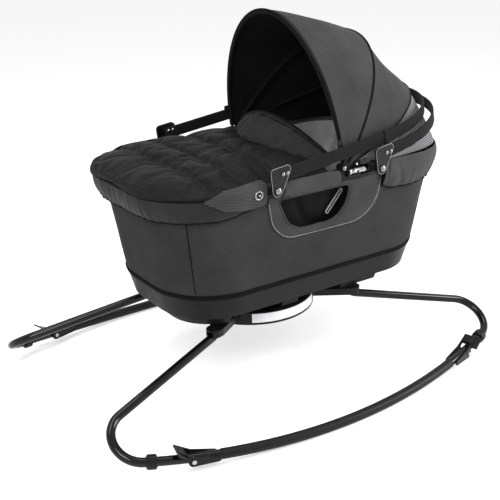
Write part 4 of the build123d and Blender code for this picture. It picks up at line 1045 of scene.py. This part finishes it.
arch_piping("canopy_front_piping", FRONT_TILT + 0.2, hoop(FRONT_REACH, FRONT_POWER, CANOPY_HEM, -0.4),
            2.1, "canopy_front")
arch_piping("canopy_middle_piping", MIDDLE_TILT, hoop(MIDDLE_REACH, MIDDLE_POWER, CANOPY_HEM, -0.9),
            2.3, "canopy_middle")
for index, (behind, radius) in enumerate(((0.8, 0.7), (1.15, 0.5))):
    first, share = int(behind), behind % 1
    line = np.array(front_rows[first]) * (1 - share) + np.array(front_rows[first + 1]) * share
    tube(f"canopy_hem_stitch_{index}", line[5:-5], radius, PIPING, sides=6, body="canopy_front")
arch_piping("canopy_rear_piping", REAR_TILT, hoop(REAR_REACH, REAR_POWER, 22, -0.4), 1.6, "tub")


# Carry straps

def strap_line(pivot_x, tilt, offset, half_width, reach, end_reach, count=150):
    """Middle line of a bail's strap with its normals and its plane's normal."""
    turn = math.radians(tilt)
    forward = np.array([math.cos(turn), 0, math.sin(turn)])
    lift = np.array([-math.sin(turn), 0, math.cos(turn)])
    leg = reach - end_reach
    flat = [(STRAP_START, -half_width), (leg, -half_width)]
    flat += [(leg + end_reach * math.sin(a), -half_width * math.cos(a))
             for a in np.linspace(0, math.pi, 120)[1:]]
    flat += [(STRAP_START, half_width)]
    flat = resample(flat, count)
    step = tangents(flat, False)
    path = np.array([np.array([pivot_x, 0, RIM_Z]) + forward * s + lift * offset + np.array([0, y, 0])
                     for s, y in flat])
    outer = np.array([forward * t[1] + np.array([0, -t[0], 0]) for t in step])
    return path, outer, lift


def strap(name, body, node, geometry):
    path, outer, lift = strap_line(*geometry)
    rows = []
    profile = [(13.4, 0), (13.1, 1.5), (12.3, 2.3), (8, 2.45), (0, 2.3), (-8, 2.45), (-12.3, 2.3),
               (-13.1, 1.5)]
    profile += [(-h, -d) for h, d in profile]
    along = lengths(path, False)
    for k, (point, out) in enumerate(zip(path, outer)):
        wave = 0.35 * wobble(along[k], 0, 0, 60)
        rows.append([point + lift * h + out * (d * 0.98 + wave) for h, d in profile])
    obj = grid(name, rows, [WEBBING], round_it=True, caps=True)
    for loop in obj.data.uv_layers[0].data:
        loop.uv = (loop.uv[1], loop.uv[0])
    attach(obj, body)
    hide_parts(node)
    for word, height in (("upper", 10.6), ("lower", -10.6)):
        for side, spread in (("outer", 2.45), ("inner", -2.45)):
            thread = [p + lift * height + o * spread for p, o in zip(path, outer)]
            stitches(f"{name}_thread_{word}_{side}", thread, 3.4, 5.0, 0.55, DARK_THREAD, (0, 0.1, 0.02),
                     body=body)
    return path, outer, lift


front_path, front_out, front_lift = strap(
    "front_carry_strap", "front_bail", "front_bail_band", FRONT_STRAP)
strap("rear_carry_strap", "rear_bail", "rear_bail_band", REAR_STRAP)


def keepers():
    """Webbing loops round the front strap."""
    distance = lengths(front_path, False)
    for word, centre in (("near", KEEPER_AT), ("far", distance[-1] - KEEPER_AT)):
        rows = []
        for d in np.linspace(-KEEPER_HALF, KEEPER_HALF, 7):
            at, out = (point_at(line, distance, centre + d) for line in (front_path, front_out))
            face = 3.3 + 0.25 * math.cos(d / KEEPER_HALF * math.pi / 2)
            half = [(14.5, 0), (14.2, 2.2), (13.2, face), (0, face), (-13.2, face), (-14.2, 2.2)]
            rows.append([at + front_lift * h + out * w for h, w in half + [(-h, -w) for h, w in half]])
        obj = grid(f"strap_keeper_{word}", rows, [WEBBING], round_it=True, flip=True)
        thicken(obj, 0.6)
        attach(obj, "front_bail")
        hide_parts("front_bail_keepers")


keepers()


# CAD pieces that stay

FINISHES = (
    (TUBE_PAINT, ("rail_tube_near", "rail_tube_far", "arm_tube_head_near", "arm_tube_head_far",
                  "arm_tube_foot_near", "arm_tube_foot_far", "rim_tube")),
    (CANOPY_LINING, ("canopy_front_bow", "canopy_mid_bow", "canopy_rear_hoop")),
    (SLEEVE, ("rail_sleeve_near", "rail_sleeve_far")),
    (BASE_PLASTIC, ("rail_collars", "hub_drum", "hub_cover", "hub_arms", "turntable", "dock_ring",
                    "release_lever_near", "release_lever_far", "flip_foot_head_near", "flip_foot_head_far",
                    "flip_foot_foot_near", "flip_foot_foot_far")),
    (TRAY_PLASTIC, ("tray",)),
    (PLATE_PAINT, ("front_bail_plates", "rear_bail_plates", "bail_lugs", "hinge_plate_near",
                   "hinge_plate_far", "bow_plates")),
    (BRIGHT, ("foot_pins", "hub_screws", "bail_pivot_pins", "front_bail_rivets", "rear_bail_rivets",
              "canopy_pins")),
    (BAND, ("label_band",)),
    (LOOP_PLASTIC, ("pocket_loops",)),
    (BOARD, ("bed_board",)),
)
for material, names in FINISHES:
    for name in names:
        nodes[name].data.materials.clear()
        nodes[name].data.materials.append(material)


def heads(node):
    """Centre, radius and side of each fastener head's outer face in a CAD node."""
    mesh = nodes[node].data
    group = list(range(len(mesh.vertices)))

    def root(i):
        while group[i] != i:
            group[i] = group[group[i]]
            i = group[i]
        return i

    for edge in mesh.edges:
        a, b = (root(v) for v in edge.vertices)
        group[a] = b
    solids = {}
    for vertex in mesh.vertices:
        solids.setdefault(root(vertex.index), []).append(nodes[node].matrix_world @ vertex.co / MM)
    found = []
    for points in solids.values():
        points = np.array(points)
        sign = 1 if points[:, 1].mean() > 0 else -1
        outer = (points[:, 1] * sign).max()
        rim = points[points[:, 1] * sign > outer - 0.05]
        low, high = rim.min(axis=0), rim.max(axis=0)
        middle = (low + high) / 2
        found.append(((middle[0], sign * outer, middle[2]), (high[0] - low[0]) / 2, sign))
    return found


DOME_TURNS = np.radians((0, 15, 32, 50, 68, 86))
for node, body in (("front_bail_rivets", "front_bail"), ("rear_bail_rivets", "rear_bail"),
                   ("bail_pivot_pins", "tub"), ("canopy_pins", "tub")):
    for index, (centre, radius, sign) in enumerate(heads(node)):
        dome = [(radius * math.cos(a), 0.36 * radius * math.sin(a) - 0.02) for a in DOME_TURNS]
        lathe(f"{node}_dome_{index}", centre, sign, dome, BRIGHT, body=body)


HINGE_Y, HINGE_Z = 217.0, 488.0


def hinge_barrel(sign, word):
    """Bright barrel of a canopy hinge with a screw at its middle and one above it."""
    profile = ((108, 3.0), (108, 5.6), (109, 6.3), (113, 6.3), (113.4, 5.7), (145.6, 5.7), (146, 6.3),
               (150, 6.3), (151, 5.6), (151, 3.0))
    screw = ((3.0, 0.0), (3.0, 0.9), (2.2, 1.4), (0.3, 1.5))
    rivet = ((3.6, 0.0), (3.4, 0.9), (2.4, 1.7), (1.0, 2.0), (0.2, 2.05))
    rows = [[(x, sign * HINGE_Y + r * cosine, HINGE_Z + r * sine) for cosine, sine in circle(24)]
            for x, r in profile]
    obj = grid(f"hinge_barrel_{word}", rows, [BRIGHT], round_it=True, caps=True, flip=True)
    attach(obj, "tub")
    lathe(f"hinge_screw_{word}", (129.0, sign * 222.2, HINGE_Z), sign, screw, PLATE_PAINT)
    lathe(f"hinge_rivet_{word}", (134.0, sign * 212.6, 500.0), sign, rivet, BRIGHT)


for sign, word in SIDES:
    hinge_barrel(sign, word)


def plate_edge_highlights(name, geometry, body):
    """Painted highlight: a light grey line round the outer face of a strap's two plates, standing in for the
    light caught by their edges.
    """
    pivot_x, tilt, _, strap_half_width, *_ = geometry
    half_width = strap_half_width + STRAP_HALF + PLATE_GAP + PLATE_THICK
    circles = (((0, 0), 12.2), ((27, 38), 9.2), ((-3, 38), 9.2))
    line = []
    for index, (centre, radius) in enumerate(circles):
        before, after = circles[index - 1], circles[(index + 1) % 3]
        turns = []
        for first, second in ((before, (centre, radius)), ((centre, radius), after)):
            (ax, ay), ar = first
            (bx, by), br = second
            heading = math.atan2(by - ay, bx - ax)
            span = math.hypot(bx - ax, by - ay)
            turns.append(heading - math.pi / 2 - math.asin((br - ar) / span))
        start, stop = turns
        while stop < start:
            stop += 2 * math.pi
        line += [(centre[0] + radius * math.cos(t), centre[1] + radius * math.sin(t))
                 for t in np.linspace(start, stop, 12)]
    turn = math.radians(tilt)
    for sign, word in SIDES:
        path = [(pivot_x + x * math.cos(turn) - z * math.sin(turn), sign * half_width,
                 RIM_Z + x * math.sin(turn) + z * math.cos(turn)) for x, z in line]
        tube(f"{name}_{word}", path, 0.55, PLATE_EDGE_HIGHLIGHT, closed=True, sides=6, body=body)


# Painted highlight lines round the front and rear strap plates
plate_edge_highlights("front_plate_edge_highlight", FRONT_STRAP, "front_bail")
plate_edge_highlights("rear_plate_edge_highlight", REAR_STRAP, "rear_bail")


# Floor, light and camera

FLOOR_HALF = 9  # metres

def seen_directly(tree):
    """1 for a ray that comes from the camera, also by way of a reflection or a clear piece."""
    rays = node_of(tree, "ShaderNodeLightPath", {}).outputs
    return maths(tree, "MAXIMUM", rays["Is Camera Ray"],
                 maths(tree, "MAXIMUM", rays["Is Glossy Ray"], rays["Is Transmission Ray"]))


def floor():
    mesh = bpy.data.meshes.new("floor")
    corners = [(x * FLOOR_HALF, y * FLOOR_HALF, 0) for x, y in ((-1, -1), (1, -1), (1, 1), (-1, 1))]
    mesh.from_pydata(corners, [], [(0, 1, 2, 3)])
    obj = bpy.data.objects.new("floor", mesh)
    scene.collection.objects.link(obj)
    material, tree, shader = start_material("floor_paper", 0.9, specular=0.1)
    feed(tree, shader, {"Base Color": (0.86, 0.86, 0.86, 1)})
    strength = maths(tree, "MULTIPLY", seen_directly(tree), 0.42)
    glow = node_of(tree, "ShaderNodeEmission", {"Color": (1, 1, 1, 1), "Strength": strength})
    both = node_of(tree, "ShaderNodeAddShader", {0: shader.outputs["BSDF"], 1: glow.outputs["Emission"]})
    feed(tree, tree.nodes["Material Output"], {"Surface": both.outputs["Shader"]})
    mesh.materials.append(material)


floor()

world = bpy.data.worlds.new("studio")
world.use_nodes = True
scene.world = world
tree = world.node_tree
feed(tree, tree.nodes["Background"], {"Color": (1, 1, 1, 1),
                                      "Strength": ramp(tree, seen_directly(tree), 0.55, 1.0)})


def softbox(name, place, target, size, power):
    lamp = bpy.data.lights.new(name, "AREA")
    lamp.shape = "RECTANGLE"
    lamp.size, lamp.size_y = size
    lamp.energy = power
    obj = bpy.data.objects.new(name, lamp)
    scene.collection.objects.link(obj)
    obj.location = place
    obj.rotation_euler = (Vector(target) - Vector(place)).to_track_quat("-Z", "Y").to_euler()


softbox("key", (-1.9, -1.7, 2.2), (0, 0, 0.4), (1.2, 1.6), 54)
softbox("side", (1.7, -1.4, 1.0), (0.25, 0, 0.4), (0.7, 1.3), 42)
softbox("top", (0.0, 0.2, 2.8), (0, 0, 0.4), (2.6, 0.45), 34)

# Camera that was fitted to the photograph, in millimetres and degrees
FOCAL_PIXELS, AZIMUTH, ELEVATION, ROLL = 925.14, -34.05, 21.28, -1.11
SHIFT_ACROSS, SHIFT_UP, DISTANCE = 5.37, -250.67, 2241.72
PICTURE_PIXELS, SENSOR = 500.0, 36.0
azimuth, elevation, roll = (math.radians(v) for v in (AZIMUTH, ELEVATION, ROLL))
back = Vector((math.sin(azimuth) * math.cos(elevation), -math.cos(azimuth) * math.cos(elevation),
               math.sin(elevation)))
level = Vector((math.cos(azimuth), math.sin(azimuth), 0))
rise = back.cross(level)
right = level * math.cos(roll) + rise * math.sin(roll)
up = rise * math.cos(roll) - level * math.sin(roll)
spot = (back * DISTANCE - right * SHIFT_ACROSS - up * SHIFT_UP) * MM
lens = bpy.data.cameras.new("camera")
lens.sensor_width = SENSOR
lens.lens = FOCAL_PIXELS * SENSOR / PICTURE_PIXELS
lens.clip_end = 50
camera = bpy.data.objects.new("camera", lens)
scene.collection.objects.link(camera)
camera.matrix_world = Matrix((
    (right.x, up.x, back.x, spot.x),
    (right.y, up.y, back.y, spot.y),
    (right.z, up.z, back.z, spot.z),
    (0, 0, 0, 1),
))
scene.camera = camera
scene.view_settings.view_transform = "Standard"
